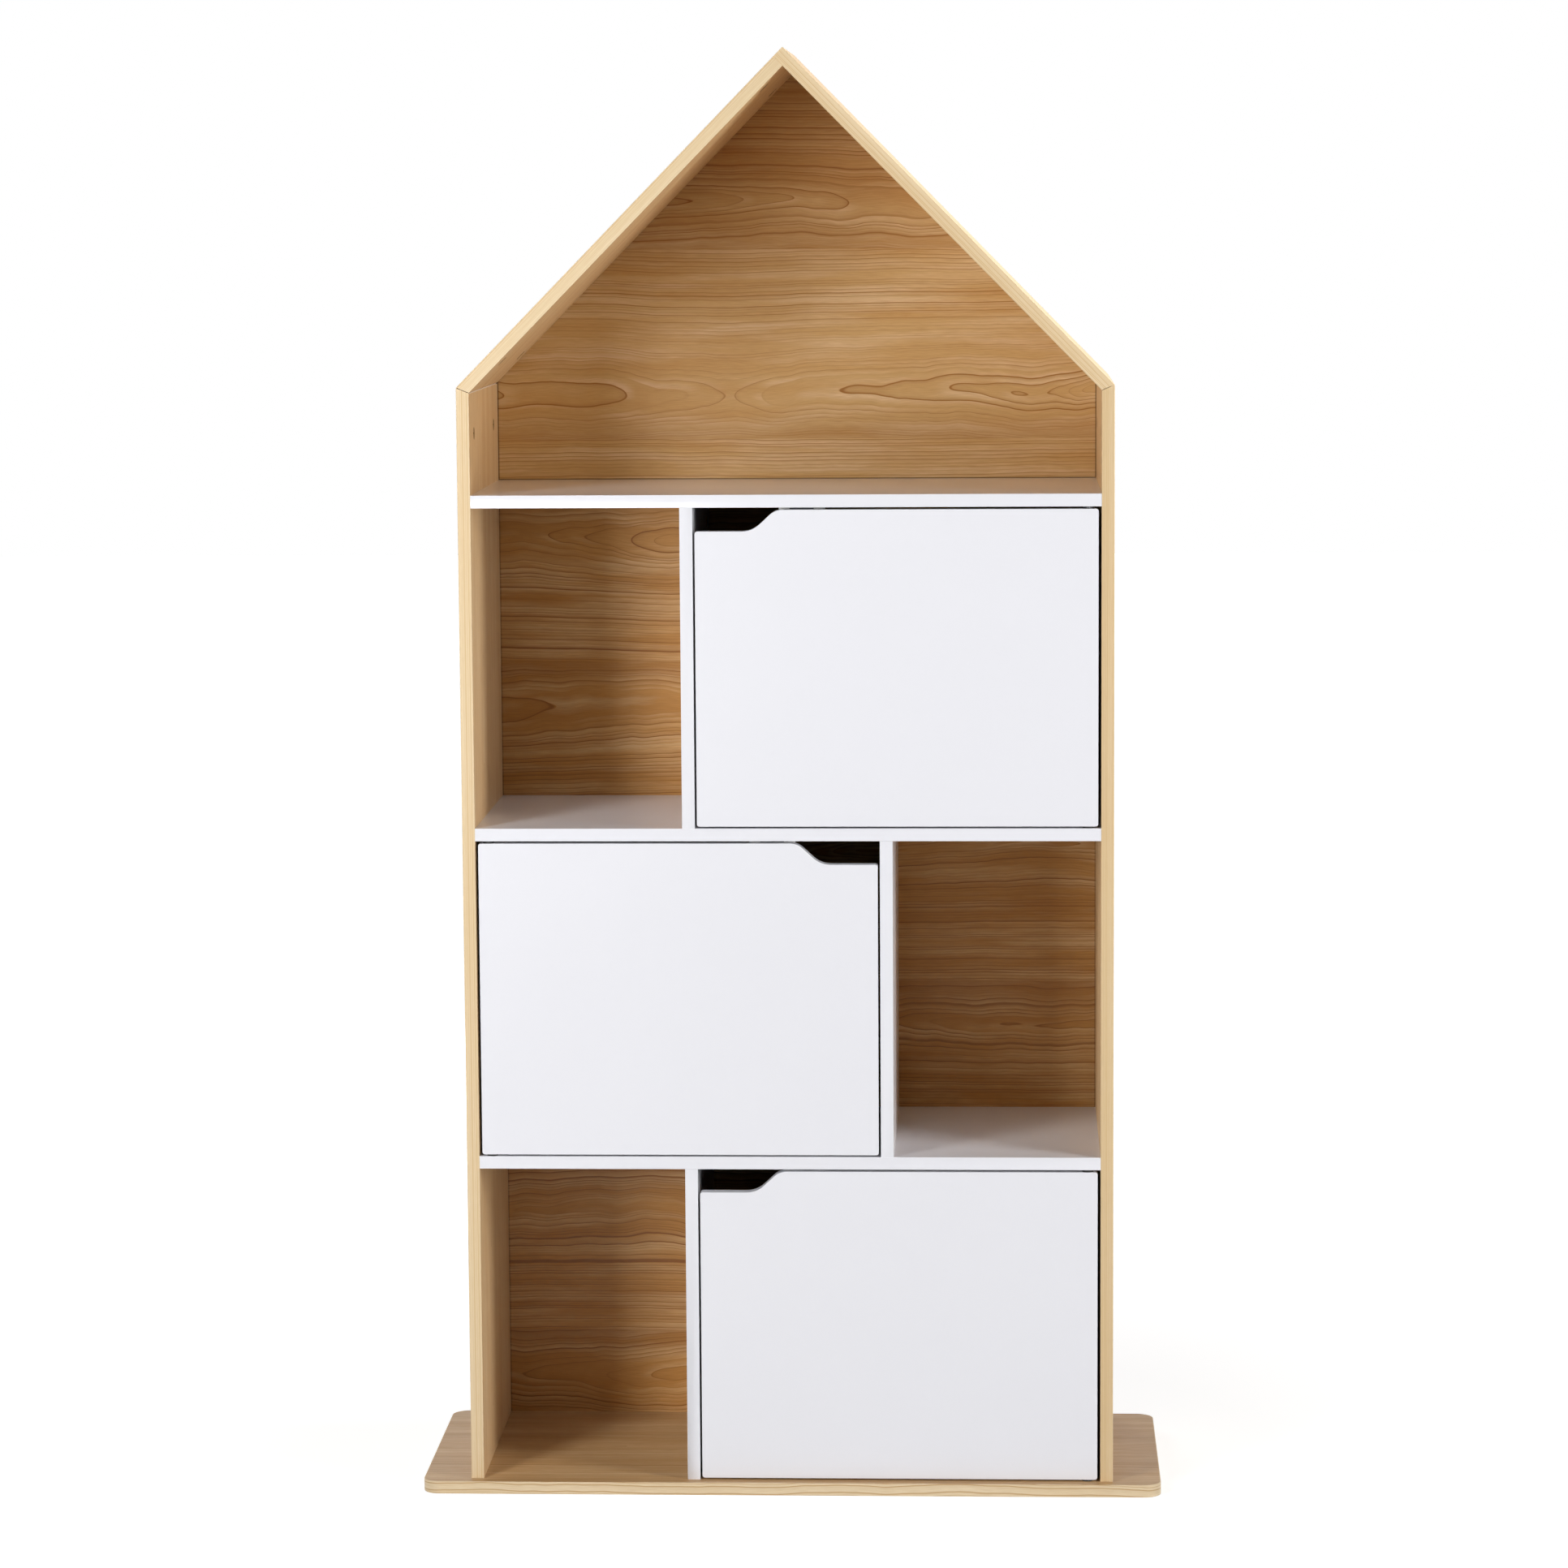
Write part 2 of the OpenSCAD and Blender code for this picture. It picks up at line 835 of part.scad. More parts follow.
module strike_plate(r) {
    color(steel)
        at_door(r)
            difference() {
                slab(door_rear_y, strike_t)
                    translate([catch_reach - strike_l / 2, strike_z - strike_h / 2])
                        round_rect(strike_l, strike_h, strike_corner_r);
                strike_screw_place()
                    strike_screw_shape(drill_slack);
            }
}

module strike_screw(r) {
    color(zinc)
        at_door(r)
            strike_screw_place()
                strike_screw_shape();
}

module bottom_strike_plate() strike_plate(0);
module middle_strike_plate() strike_plate(1);
module top_strike_plate() strike_plate(2);
module bottom_strike_screw() strike_screw(0);
module middle_strike_screw() strike_screw(1);
module top_strike_screw() strike_screw(2);

// Slot that lets a catch be moved to and fro before its screws are tightened
module ear_slot() {
    d = small_screw_d + 2 * drill_slack;
    translate([0, 0, -past]) {
        for (y = [-slot_travel, slot_travel])
            translate([0, y, 0])
                cylinder(d = d, h = ear_t + 2 * past);
        translate([-d / 2, -slot_travel, 0])
            cube([d, 2 * slot_travel, ear_t + 2 * past]);
    }
}

// Housing with two slotted ears and a pocket that is open towards the door
module catch_housing() {
    block_l = magnet_l + 2 * housing_wall;
    difference() {
        union() {
            translate([-catch_l / 2, 0, -ear_t])
                linear_extrude(ear_t)
                    round_rect(catch_l, catch_depth, ear_corner_r);
            translate([-block_l / 2, 0, -catch_h])
                cube([block_l, catch_depth, catch_h]);
        }
        translate([-magnet_l / 2, -past, housing_wall - catch_h])
            cube([magnet_l, magnet_d + past, pole_h]);
        for (s = [-1, 1])
            translate([s * ear_mid, catch_depth / 2, -ear_t])
                ear_slot();
    }
}

module catch_housings() {
    color(white_plastic)
        for (r = rows)
            at_catch(r)
                catch_housing();
}

// Steel plates on top of and under the magnet, whose edges meet the strike plate
module catch_pole_plates() {
    color(steel)
        for (r = rows)
            at_catch(r)
                for (z = [housing_wall - catch_h, -housing_wall - pole_t])
                    translate([-magnet_l / 2, -pole_out, z])
                        cube([magnet_l, pole_out + magnet_d, pole_t]);
}

module catch_magnets() {
    color(dark_magnet)
        for (r = rows)
            at_catch(r)
                translate([-magnet_l / 2, 0, housing_wall + pole_t - catch_h])
                    cube([magnet_l, magnet_d, pole_h - 2 * pole_t]);
}

module catch_screws() {
    color(zinc)
        for (r = rows)
            at_catch_screws(r)
                pan_screw();
}

// ---------------------------------------------------------------- joint fittings

module shelf_cam_locks() {
    color(zinc)
        at_joints(all_shelf_joints, fitting_ys)
            cam_lock(cam_setback);
}

module divider_cam_locks() {
    color(zinc)
        at_joints(all_divider_joints, fitting_ys)
            cam_lock(cam_setback);
}

module roof_cam_locks() {
    color(zinc) {
        at_joints([ridge_joint], fitting_ys)
            cam_lock(cam_setback);
        at_joints(all_eave_arms, fitting_ys)
            cam_lock(mitre_setback);
    }
}

module cam_bolts() {
    color(steel)
        at_joints(all_cam_joints, fitting_ys)
            cam_bolt();
}

// Two arms that meet in a ball in the middle of the mitre
module mitre_bolts() {
    color(steel)
        for (s = [-1, 1]) {
            at_joints([wall_eave(s), roof_eave(s)], fitting_ys)
                mitre_arm();
            at_joints([wall_eave(s)], fitting_ys)
                sphere(d = bolt_head_d);
        }
}

module wooden_dowels() {
    color(beech)
        at_joints(all_dowel_joints, dowel_ys)
            dowel();
}

module base_screws() {
    color(steel)
        at_joints(base_joints, fitting_ys)
            base_screw();
}

// ---------------------------------------------------------------- the bookcase

base_board();
base_edge_band();
left_side_panel();
right_side_panel();
left_side_edge_band();
right_side_edge_band();
left_roof_panel();
right_roof_panel();
left_roof_edge_band();
right_roof_edge_band();
lower_shelf();
middle_shelf();
top_shelf();
bottom_row_divider();
middle_row_divider();
top_row_divider();
bottom_row_back();
middle_row_back();
top_row_back();
attic_back();
bottom_door();
middle_door();
top_door();
bottom_door_pins();
middle_door_pins();
top_door_pins();
bottom_door_bushes();
middle_door_bushes();
top_door_bushes();
bottom_strike_plate();
middle_strike_plate();
top_strike_plate();
bottom_strike_screw();
middle_strike_screw();
top_strike_screw();
board_bushes();
catch_housings();
catch_magnets();
catch_pole_plates();
catch_screws();
shelf_cam_locks();
divider_cam_locks();
roof_cam_locks();
cam_bolts();
mitre_bolts();
wooden_dowels();
base_screws();
back_nails();
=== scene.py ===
# %% [markdown]
# # A house shaped bookcase for a child's room
#
# The real bookcase is a flat pack: 15 mm boards faced with a printed wood paper or a
# white foil, thin printed backs, three doors on pins, and the small fittings that hold
# it all together. The construction model gives every piece its true place. This lesson
# dresses it: it rounds the edges that catch the light, sets out the small fittings,
# gives each surface its finish, and lights and frames the whole.
#
# Everything is in metres. X runs to the right, Y to the back and Z up, and the base
# board's underside lies on the floor at zero.

# %% Load the construction model
import json
import math
from functools import partial

import bmesh
import bpy
from mathutils import Euler, Matrix, Vector

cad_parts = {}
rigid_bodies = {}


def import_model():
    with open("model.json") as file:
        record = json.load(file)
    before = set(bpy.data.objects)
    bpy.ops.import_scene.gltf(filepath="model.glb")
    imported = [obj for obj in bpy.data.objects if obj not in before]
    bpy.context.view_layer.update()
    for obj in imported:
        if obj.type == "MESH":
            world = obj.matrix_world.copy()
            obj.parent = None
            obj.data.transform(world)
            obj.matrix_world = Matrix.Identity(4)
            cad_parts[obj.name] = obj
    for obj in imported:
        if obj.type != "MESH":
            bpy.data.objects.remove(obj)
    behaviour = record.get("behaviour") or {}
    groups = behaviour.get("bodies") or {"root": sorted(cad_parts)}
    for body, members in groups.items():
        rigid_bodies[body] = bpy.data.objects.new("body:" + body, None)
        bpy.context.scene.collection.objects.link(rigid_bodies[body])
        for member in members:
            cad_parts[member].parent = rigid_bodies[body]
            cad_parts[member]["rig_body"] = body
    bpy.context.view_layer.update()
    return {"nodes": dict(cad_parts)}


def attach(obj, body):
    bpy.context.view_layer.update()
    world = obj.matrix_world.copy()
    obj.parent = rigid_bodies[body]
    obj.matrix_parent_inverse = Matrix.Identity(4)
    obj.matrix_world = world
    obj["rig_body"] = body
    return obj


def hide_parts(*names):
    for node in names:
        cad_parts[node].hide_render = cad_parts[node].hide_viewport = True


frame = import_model()
nodes = frame["nodes"]

# %% [markdown]
# ## The sizes that the finishes need
#
# The fittings and the grain are laid out by the same measures as the boards. They are
# written once here in millimetres, as a maker would say them, and turned into metres.

# %% Measures of the carcass
MM = 0.001

side_x, inner_x = 381 * MM, 366 * MM
front_y, back_y = -153 * MM, 165 * MM
board_t = 15 * MM
row_floors = [15 * MM, 405 * MM, 795 * MM]
row_ceilings = [390 * MM, 780 * MM, 1170 * MM]
door_sides = [1, -1, 1]
row_names = ["bottom", "middle", "top"]
divider_xs = [side * -115.5 * MM for side in door_sides]
roof_slope = math.radians(45.5)
door_rear_y = front_y + board_t
attic_floor, eave_z = 1185 * MM, 1310 * MM
eave_drop = board_t * math.tan((math.pi / 2 - roof_slope) / 2)
mitre_gap = 0.3 * MM
print("rows:", list(zip(row_names, row_floors, row_ceilings)))

# %% [markdown]
# ## Three small helpers
#
# Colours are chosen on a screen, where they are written as six letters and digits, but
# light adds up in linear numbers, so one function turns the first into the second.
# Another feeds a node: it links its inputs to other nodes, or writes a value into them.
# The third adds a node to a tree with its settings and its inputs, and is used for every
# material and every Geometry Nodes tree in the lesson. Each cell fills in its tree once
# with partial, and then simply puts one node after another.


# %% Colours and nodes
def paint(code):
    """Linear RGBA of a colour written as on a paint card, such as d9b384."""
    screen = [int(code[i : i + 2], 16) / 255 for i in (0, 2, 4)]
    linear = [c / 12.92 if c <= 0.04045 else ((c + 0.055) / 1.055) ** 2.4 for c in screen]
    return (*linear, 1.0)


def feed(node, inputs):
    """Links or writes a node's inputs, which are listed in order or called by name."""
    if not isinstance(inputs, dict):
        inputs = dict(enumerate(inputs))
    for socket, value in inputs.items():
        if isinstance(value, bpy.types.Node):
            value = value.outputs[0]
        if isinstance(value, bpy.types.NodeSocket):
            node.id_data.links.new(value, node.inputs[socket])
        else:
            node.inputs[socket].default_value = value


def add(tree, kind, inputs=(), operation=None, **settings):
    """A new node with its inputs, its operation if it has one, and its settings."""
    node = tree.nodes.new(kind)
    if operation:
        node.operation = operation
    for name, value in settings.items():
        setattr(node, name, value)
    feed(node, inputs)
    return node


print("white as written:", paint("ffffff")[:3])

# %% [markdown]
# ## Printed wood
#
# The boards aren't solid wood. A paper printed with wood grain is pressed onto them, and
# the backs carry the same print turned on its side. The print shows planks sawn along
# the trunk. Where the saw passed close to the heart, the yearly rings make long nested
# tongues. Away from it they run nearly straight and close together.
#
# A picture of wood would do, but it repeats and goes soft up close. Here the pattern is
# worked out as the tree made it: the rings are cylinders round a wandering heart line,
# and the board's face is a cut beside that line. The distance from the heart, divided by
# a ring's width, gives the ring's number. Its whole part gives each ring its own
# strength, and what is left over draws the thin dark late wood at the ring's rim.

# %% Ring pattern of one plank
MATH, RANGE, NOISE = "ShaderNodeMath", "ShaderNodeMapRange", "ShaderNodeTexNoise"
MIX, XYZ = "ShaderNodeMix", "ShaderNodeCombineXYZ"

wood_inks = ("Pale", "Main", "Line", "Silk")
figure = bpy.data.node_groups.new("sawn wood figure", "ShaderNodeTree")
for name, value in {
    "Along": 0.0,  # mm along the grain
    "Across": 0.0,  # mm across the grain, from a heart line
    "Seed": 1.0,
    "Plank": 210.0,  # mm from one heart line to the next
    "Edge": 56.0,  # mm from the heart line to the plank's near edge
    "Ring": 4.4,  # mm, one year's growth
    "Depth": 34.0,  # mm, how far the heart wanders from the face
    "Sway": 1.0,  # how much the heart line wanders sideways
}.items():
    socket = figure.interface.new_socket(name, in_out="INPUT", socket_type="NodeSocketFloat")
    socket.default_value = value
for name in wood_inks:
    figure.interface.new_socket(name, in_out="INPUT", socket_type="NodeSocketColor")
figure.interface.new_socket("Color", in_out="OUTPUT", socket_type="NodeSocketColor")
figure.interface.new_socket("Height", in_out="OUTPUT", socket_type="NodeSocketFloat")
figure.interface.new_socket("Fibre", in_out="OUTPUT", socket_type="NodeSocketFloat")

put = partial(add, figure)
given = put("NodeGroupInput").outputs
along, across, seed = given["Along"], given["Across"], given["Seed"]

# which plank, and where in it
plank_step = 7.31  # sets the noise of one plank apart from the next one's
lifted = put(MATH, (across, given["Plank"]), "ADD")
lifted = put(MATH, (lifted, given["Edge"]), "SUBTRACT")
share = put(MATH, (lifted, given["Plank"]), "DIVIDE")
plank = put(MATH, (share,), "FLOOR")
start = put(MATH, (plank, given["Plank"]), "MULTIPLY")
place = put(MATH, (across, start), "SUBTRACT")
own = put(MATH, (plank, plank_step, seed), "MULTIPLY_ADD")

# the heart line wanders sideways, in long sweeps and short kinks, which the straight
# wood further out follows less and less
near_mm, outer_mm, outer_share = 18.0, 75.0, 0.24
calming = {"From Min": near_mm, "From Max": outer_mm, "To Min": 1.0, "To Max": outer_share}
off = put(MATH, (place,), "ABSOLUTE")
lively = put(RANGE, {"Value": off, **calming}, interpolation_type="SMOOTHSTEP")
lively = put(MATH, (lively, given["Sway"]), "MULTIPLY")
moved = place
for length, sway in ((330, 30), (82, 14), (30, 5), (11, 1)):
    far = put(MATH, (along, 1 / length), "MULTIPLY")
    level = put(MATH, (place, 0.5 / length), "MULTIPLY")
    where = put(XYZ, (far, level, own))
    sweep = put(NOISE, {"Vector": where, "Scale": 1.0, "Detail": 0.0})
    shift = put(MATH, (sweep, 0.5), "SUBTRACT")
    shift = put(MATH, (shift, lively), "MULTIPLY")
    moved = put(MATH, (shift, sway, moved), "MULTIPLY_ADD")

# and sinks slowly under the face, then rises again, so the rings end in nested tongues
# that all point one way
tongue_mm, drift_mm, plank_lag_mm = 640.0, 120.0, 217.0
sink_slice, year_slice = 4.7, 9.1  # two levels of the noise that don't meet
ahead = put(MATH, (own, plank_lag_mm, along), "MULTIPLY_ADD")
ramp = put(MATH, (ahead, tongue_mm), "PINGPONG")
ramp = put(MATH, (ramp, 1 / tongue_mm), "MULTIPLY")
far = put(MATH, (along, 1 / drift_mm), "MULTIPLY")
where = put(XYZ, (far, own, sink_slice))
sink = put(NOISE, {"Vector": where, "Scale": 1.0, "Detail": 1.0})
sink = put(MATH, (sink, 0.5), "SUBTRACT")
sink = put(MATH, (sink, 0.5, ramp), "MULTIPLY_ADD")
depth = put(MATH, (sink, given["Depth"]), "MULTIPLY")
square = put(MATH, (moved, moved), "MULTIPLY")
radius = put(MATH, (depth, depth, square), "MULTIPLY_ADD")
radius = put(MATH, (radius,), "SQRT")
count = put(MATH, (radius, given["Ring"]), "DIVIDE")

# how steeply the face cuts the rings: flat over the heart, square further out
flattest = 0.22
slant = put(MATH, (depth, flattest), "MULTIPLY")
slant = put(MATH, (slant, slant, square), "MULTIPLY_ADD")
slant = put(MATH, (slant,), "SQRT")
slant = put(MATH, (slant, radius), "DIVIDE")
spread = put(MATH, (given["Ring"], slant), "DIVIDE")

# good and bad years: rings stand closer or wider
year_scale, year_swing = 0.34, 3.6
years = put(XYZ, (count, own, year_slice))
luck = put(NOISE, {"Vector": years, "Scale": year_scale, "Detail": 1.0})
count = put(MATH, (luck, year_swing, count), "MULTIPLY_ADD")
ring = put(MATH, (count,), "FLOOR")
within = put(MATH, (count,), "FRACT")
label = put(XYZ, (ring, own, 0.0))
chance = put("ShaderNodeTexWhiteNoise", {"Vector": label})
print("nodes in the ring pattern so far:", len(figure.nodes))

# %% [markdown]
# Late wood darkens slowly towards the end of the year and stops short where the next
# spring begins, so each line is soft on one side and crisp on the other. Long fibres,
# pale silky streaks and a slow change of tone lie over the rings. They are noise that
# is stretched along the grain, at the size that fibres have.

# %% Late wood, fibres and tone
def zone(value, start, end):
    """Smooth step from nothing to all, between two places in mm."""
    values = {"Value": value, "From Min": start, "From Max": end}
    return put(RANGE, values, interpolation_type="SMOOTHSTEP")


rim_tone, summer_tone, faintest_ring = 0.75, 0.26, 0.12
gone = put(MATH, (within, spread), "MULTIPLY")
left = put(MATH, (1.0, within), "SUBTRACT")
left = put(MATH, (left, spread), "MULTIPLY")
begun = zone(left, 0.0, 0.35)
rim = put(MATH, (zone(left, 1.45, 0.6), begun), "MULTIPLY")
summer = put(MATH, (zone(left, 5.0, 0.6), begun), "MULTIPLY")
summer = put(MATH, (summer, summer_tone), "MULTIPLY")
line = put(MATH, (rim, rim_tone, summer), "MULTIPLY_ADD")
spring = zone(gone, 7.5, 0.3)
strength = put(RANGE, {"Value": chance.outputs["Value"], "To Min": faintest_ring})
line = put(MATH, (line, strength), "MULTIPLY")

streaks = {}
for name, long, wide, detail, low, high in (
    ("fibre", 20, 0.8, 4.0, 0.3, 0.72),
    ("silk", 190, 20, 2.0, 0.42, 0.66),
    ("tone", 420, 26, 1.0, 0.3, 0.7),
):
    far = put(MATH, (along, 1 / long), "MULTIPLY")
    level = put(MATH, (moved, 1 / wide), "MULTIPLY")
    where = put(XYZ, (far, level, own))
    streak = put(NOISE, {"Vector": where, "Scale": 1.0, "Detail": detail})
    streaks[name] = put(RANGE, {"Value": streak, "From Min": low, "From Max": high})

silk_tone, fibre_tone, fibre_relief = 0.6, 0.36, 0.5
dusk_mm, dusk_tone = 42.0, 0.3  # planks darken a little towards one edge
silky = put(MATH, (streaks["silk"], spring), "MULTIPLY")
silky = put(MATH, (silky, silk_tone), "MULTIPLY")
near = put(MATH, (given["Edge"], place), "SUBTRACT")
fading = {"Value": near, "From Max": dusk_mm, "To Min": dusk_tone, "To Max": 0.0}
dusk = put(RANGE, fading, interpolation_type="SMOOTHSTEP")
thin = put(MATH, (streaks["fibre"], fibre_tone), "MULTIPLY")
body = given["Main"]
for share, tint in (
    (streaks["tone"], "Pale"),
    (silky, "Silk"),
    (dusk, "Line"),
    (line, "Line"),
    (thin, "Line"),
):
    body = put(MIX, {0: share, 6: body, 7: given[tint]}, data_type="RGBA").outputs[2]
relief = put(MATH, (streaks["fibre"], fibre_relief, line), "MULTIPLY_ADD")
put("NodeGroupOutput", {"Color": body, "Height": relief, "Fibre": streaks["fibre"]})
print("nodes in the finished wood figure:", len(figure.nodes))

# %% [markdown]
# ## Finishes of the boards
#
# Each board shows the same print, laid in its own direction. The paper is sealed with a
# thin resin film, so it has a low, even gloss that the pressed fibres break up a little.
# The rear edges and the backs of the thin panels have no paper, and show the brown wood
# fibre that the board is pressed from. Where a back meets the walls there is a groove, too
# thin to model, so its shadow is painted into the print as a dark hairline.


# %% Printed board finish
# painted shade under the ridge: where it starts and ends in height, how strong, and its tint
attic_ridge_shade = (1400 * MM, 1640 * MM, 0.85)  # from, to and how far
ridge_shade_tint = (0.78, 0.6, 0.36, 1.0)
paper_end = 0.05 * MM
felt_scale, blot_scale, blot_swing = 900.0, 55.0, 0.13  # pulp of 1 mm, blots of 18 mm
film_rough, fibre_rough, raw_rough = 0.38, 0.5, 0.9


def printed_board(name, grain, cross, heart, seed, colours, **sizes):
    """Board with a printed wood face. grain and cross are unit directions, heart is in mm."""
    finish = bpy.data.materials.new(name)
    finish.use_nodes = True
    tree = finish.node_tree
    put = partial(add, tree)
    spot = put("ShaderNodeTexCoord").outputs["Object"]
    wood = put("ShaderNodeGroup", node_tree=figure)
    for socket, way, start in (("Along", grain, 0.0), ("Across", cross, heart)):
        run = put("ShaderNodeVectorMath", (spot, Vector(way) / MM), "DOT_PRODUCT")
        run = put(MATH, (run.outputs["Value"], start), "SUBTRACT")
        feed(wood, {socket: run})
    feed(wood, dict(sizes, Seed=seed))
    feed(wood, {socket: paint(code) for socket, code in zip(wood_inks, colours)})
    parts = put("ShaderNodeSeparateXYZ", (spot,))
    face = wood.outputs["Color"]

    # painted shade: the attic's back grows darker and warmer towards the ridge, under the roof
    if "attic" in name:
        low, high, most = attic_ridge_shade
        ridge_shade_share = {"Value": parts.outputs["Z"], "From Min": low, "From Max": high, "To Max": most}
        ridge_shade_share = put(RANGE, ridge_shade_share, interpolation_type="SMOOTHSTEP")
        toned = {0: ridge_shade_share, 6: face, 7: ridge_shade_tint}
        face = put(MIX, toned, data_type="RGBA", blend_type="MULTIPLY").outputs[2]

    # painted shadow: a dark hairline where a back meets the walls and the attic's shelf
    if "back" in name:
        wide = put(MATH, (parts.outputs["X"],), "ABSOLUTE")
        edges = {"From Min": inner_x - 1.7 * MM, "From Max": inner_x - 1.1 * MM}
        gap_shade = put(RANGE, {"Value": wide, **edges})
        gap_shade_tone = 0.35
        if "attic" in name:
            edges = {"From Min": attic_floor + 1.4 * MM, "From Max": attic_floor + 0.9 * MM}
            shelf_gap_shade = put(RANGE, {"Value": parts.outputs["Z"], **edges})
            gap_shade = put(MATH, (gap_shade, shelf_gap_shade), "MAXIMUM")
            gap_shade_tone = 0.7
        gap_shade = put(MATH, (gap_shade, gap_shade_tone), "MULTIPLY")
        face = put(MIX, {0: gap_shade, 6: face, 7: paint("4a2a10")}, data_type="RGBA").outputs[2]

    # raw board where the paper ends, on the rear faces and on the backs' edges
    limit = back_y + (paper_end if "back" in name else -paper_end)
    bare = put(MATH, (parts.outputs["Y"], limit), "GREATER_THAN")
    felt = put(NOISE, {"Vector": spot, "Scale": felt_scale, "Detail": 4.0, "Roughness": 0.7})
    blots = put(NOISE, {"Vector": spot, "Scale": blot_scale, "Detail": 4.0})
    cloudy = {"From Min": 0.3, "From Max": 0.7, "To Min": -blot_swing, "To Max": blot_swing}
    cloudy = put(RANGE, {"Value": blots, **cloudy})
    mixed = put(MATH, (felt, cloudy), "ADD")
    pulp = put(MIX, {0: mixed, 6: paint("8f673d"), 7: paint("bd9464")}, data_type="RGBA")
    colour = put(MIX, {0: bare, 6: face, 7: pulp.outputs[2]}, data_type="RGBA")

    sheen = {"Value": wood.outputs["Fibre"], "To Min": film_rough, "To Max": fibre_rough}
    rough = put(MIX, {0: bare, 2: put(RANGE, sheen), 3: raw_rough})
    height = put(MIX, {0: bare, 2: wood.outputs["Height"], 3: felt})
    bump = put("ShaderNodeBump", {"Height": height, "Strength": 0.2, "Distance": 0.03 * MM})
    skin = {"Base Color": colour.outputs[2], "Roughness": rough, "Normal": bump}
    feed(tree.nodes["Principled BSDF"], skin)
    return finish


# Each board has its grain's way, the way across it, a heart line in mm and a seed.
up, deep, right = (0, 0, 1), (0, 1, 0), (1, 0, 0)
tilt_x, tilt_z = math.cos(roof_slope), math.sin(roof_slope)
rise_right, rise_left = (tilt_x, 0, tilt_z), (-tilt_x, 0, tilt_z)
board_colours = ("e4c699", "dbb785", "bf905a", "efd6ae")
base_colours = ("d2b184", "c6a171", "a27540", "e0c69d")
board_finishes = {
    node: printed_board(f"printed oak board {label}", way, deep, heart, number, board_colours)
    for node, label, way, heart, number in (
        ("left_side_panel", "upright left", up, -40, 3.0),
        ("right_side_panel", "upright right", up, 30, 11.0),
        ("left_roof_panel", "roof left", rise_right, -60, 5.0),
        ("right_roof_panel", "roof right", rise_left, 10, 8.0),
    )
}
base_print = printed_board("printed oak board base", right, deep, 0, 14.0, base_colours)
board_finishes["base_board"] = base_print

# The backs repeat the print at the heights that the photograph shows. The attic's one lies
# the other way up. The rows' backs take a darker, more saturated copy of its colours, as
# painted shade for the inside of the bays.
light_back = ("dcb87e", "d2a667", "a16b2e", "f4dab0")
# painted shade: the same print colours, darker and more saturated, for the shaded bays
shaded_back_colours = ("cb9650", "be8740", "8a5214", "eecb98")
down = (0, 0, -1)
backs = {
    "attic_back": (down, -1289.9, 21.0, light_back, 230.6),
    "top_row_back": (up, 903.7, 33.0, shaded_back_colours, 210.4),
    "middle_row_back": (up, 507.6, 45.0, shaded_back_colours, 223.2),
    "bottom_row_back": (up, 64.2, 52.0, shaded_back_colours, 209.5),
}
for name, (cross, heart, number, colours, period) in backs.items():
    label = f"printed oak back {name}"
    board_finishes[name] = printed_board(label, right, cross, heart, number, colours, Plank=period)
print("board finishes:", len(board_finishes))

# %% [markdown]
# The front edges carry a strip of pale plastic or paper tape, one millimetre thick. Its
# print is a plain one of fine lines that run along the strip, so it reads lighter and
# calmer than the faces.

# %% Edge tape finish
tape_colours = ("e9d4af", "e5cda6", "d2b07c", "edd9b8")
tape = dict(colours=tape_colours, Ring=2.0, Depth=3.0, Plank=900.0, Edge=30.0, Sway=0.05)
base_tape = dict(tape, colours=("efdcb9", "ebd5af", "c29c69", "f2e0c0"))
base_tape.update(Ring=3.4, Depth=9.0, Sway=0.5, Edge=90.0)
across_right, across_left = (-tilt_z, 0, tilt_x), (tilt_z, 0, tilt_x)
band_finishes = {
    f"{board}_edge_band": printed_board(f"pale oak edge tape {label}", *lie, **values)
    for board, label, lie, values in (
        ("left_side", "upright left", (up, right, 350, 61.0), tape),
        ("right_side", "upright right", (up, right, 350, 64.0), tape),
        ("left_roof", "roof left", (rise_right, across_right, 1130, 67.0), tape),
        ("right_roof", "roof right", (rise_left, across_left, 1130, 70.0), tape),
        ("base", "base", (right, up, -10, 73.0), base_tape),
    )
}
print("edge tapes:", len(band_finishes))

# %% [markdown]
# ## White foil
#
# Shelves, uprights and doors are covered in white foil. It isn't a pure white: a little
# blue, with a satin gloss, and a very faint unevenness like the skin of an orange. The
# uneven skin is what makes a real white panel look less like paper.


# %% Plain finishes
def plain_finish(name, light, dark, roughness, mottle_mm, grain_mm, relief_mm, metallic=0.0):
    """Finish of one colour that drifts a little, with a fine uneven skin."""
    finish = bpy.data.materials.new(name)
    finish.use_nodes = True
    tree = finish.node_tree
    put = partial(add, tree)
    spot = put("ShaderNodeTexCoord").outputs["Object"]
    cloud = put(NOISE, {"Vector": spot, "Scale": 1 / (mottle_mm * MM), "Detail": 3.0})
    skin = put(NOISE, {"Vector": spot, "Scale": 1 / (grain_mm * MM), "Detail": 2.0})
    colour = put(MIX, {0: cloud, 6: paint(dark), 7: paint(light)}, data_type="RGBA")
    low, high = roughness
    drift = {"From Min": 0.3, "From Max": 0.7, "To Min": low, "To Max": high}
    rough = put(RANGE, {"Value": cloud, **drift})
    bump = put("ShaderNodeBump", {"Height": skin, "Strength": 0.3, "Distance": relief_mm * MM})
    coat = {"Base Color": colour.outputs[2], "Roughness": rough, "Normal": bump}
    feed(tree.nodes["Principled BSDF"], dict(coat, Metallic=metallic))
    return finish


# satin foil: an even white with a soft, low shine
white_foil = plain_finish("white foil, satin", "eeeef3", "ececf1", (0.2, 0.22), 260, 1.4, 0.015)
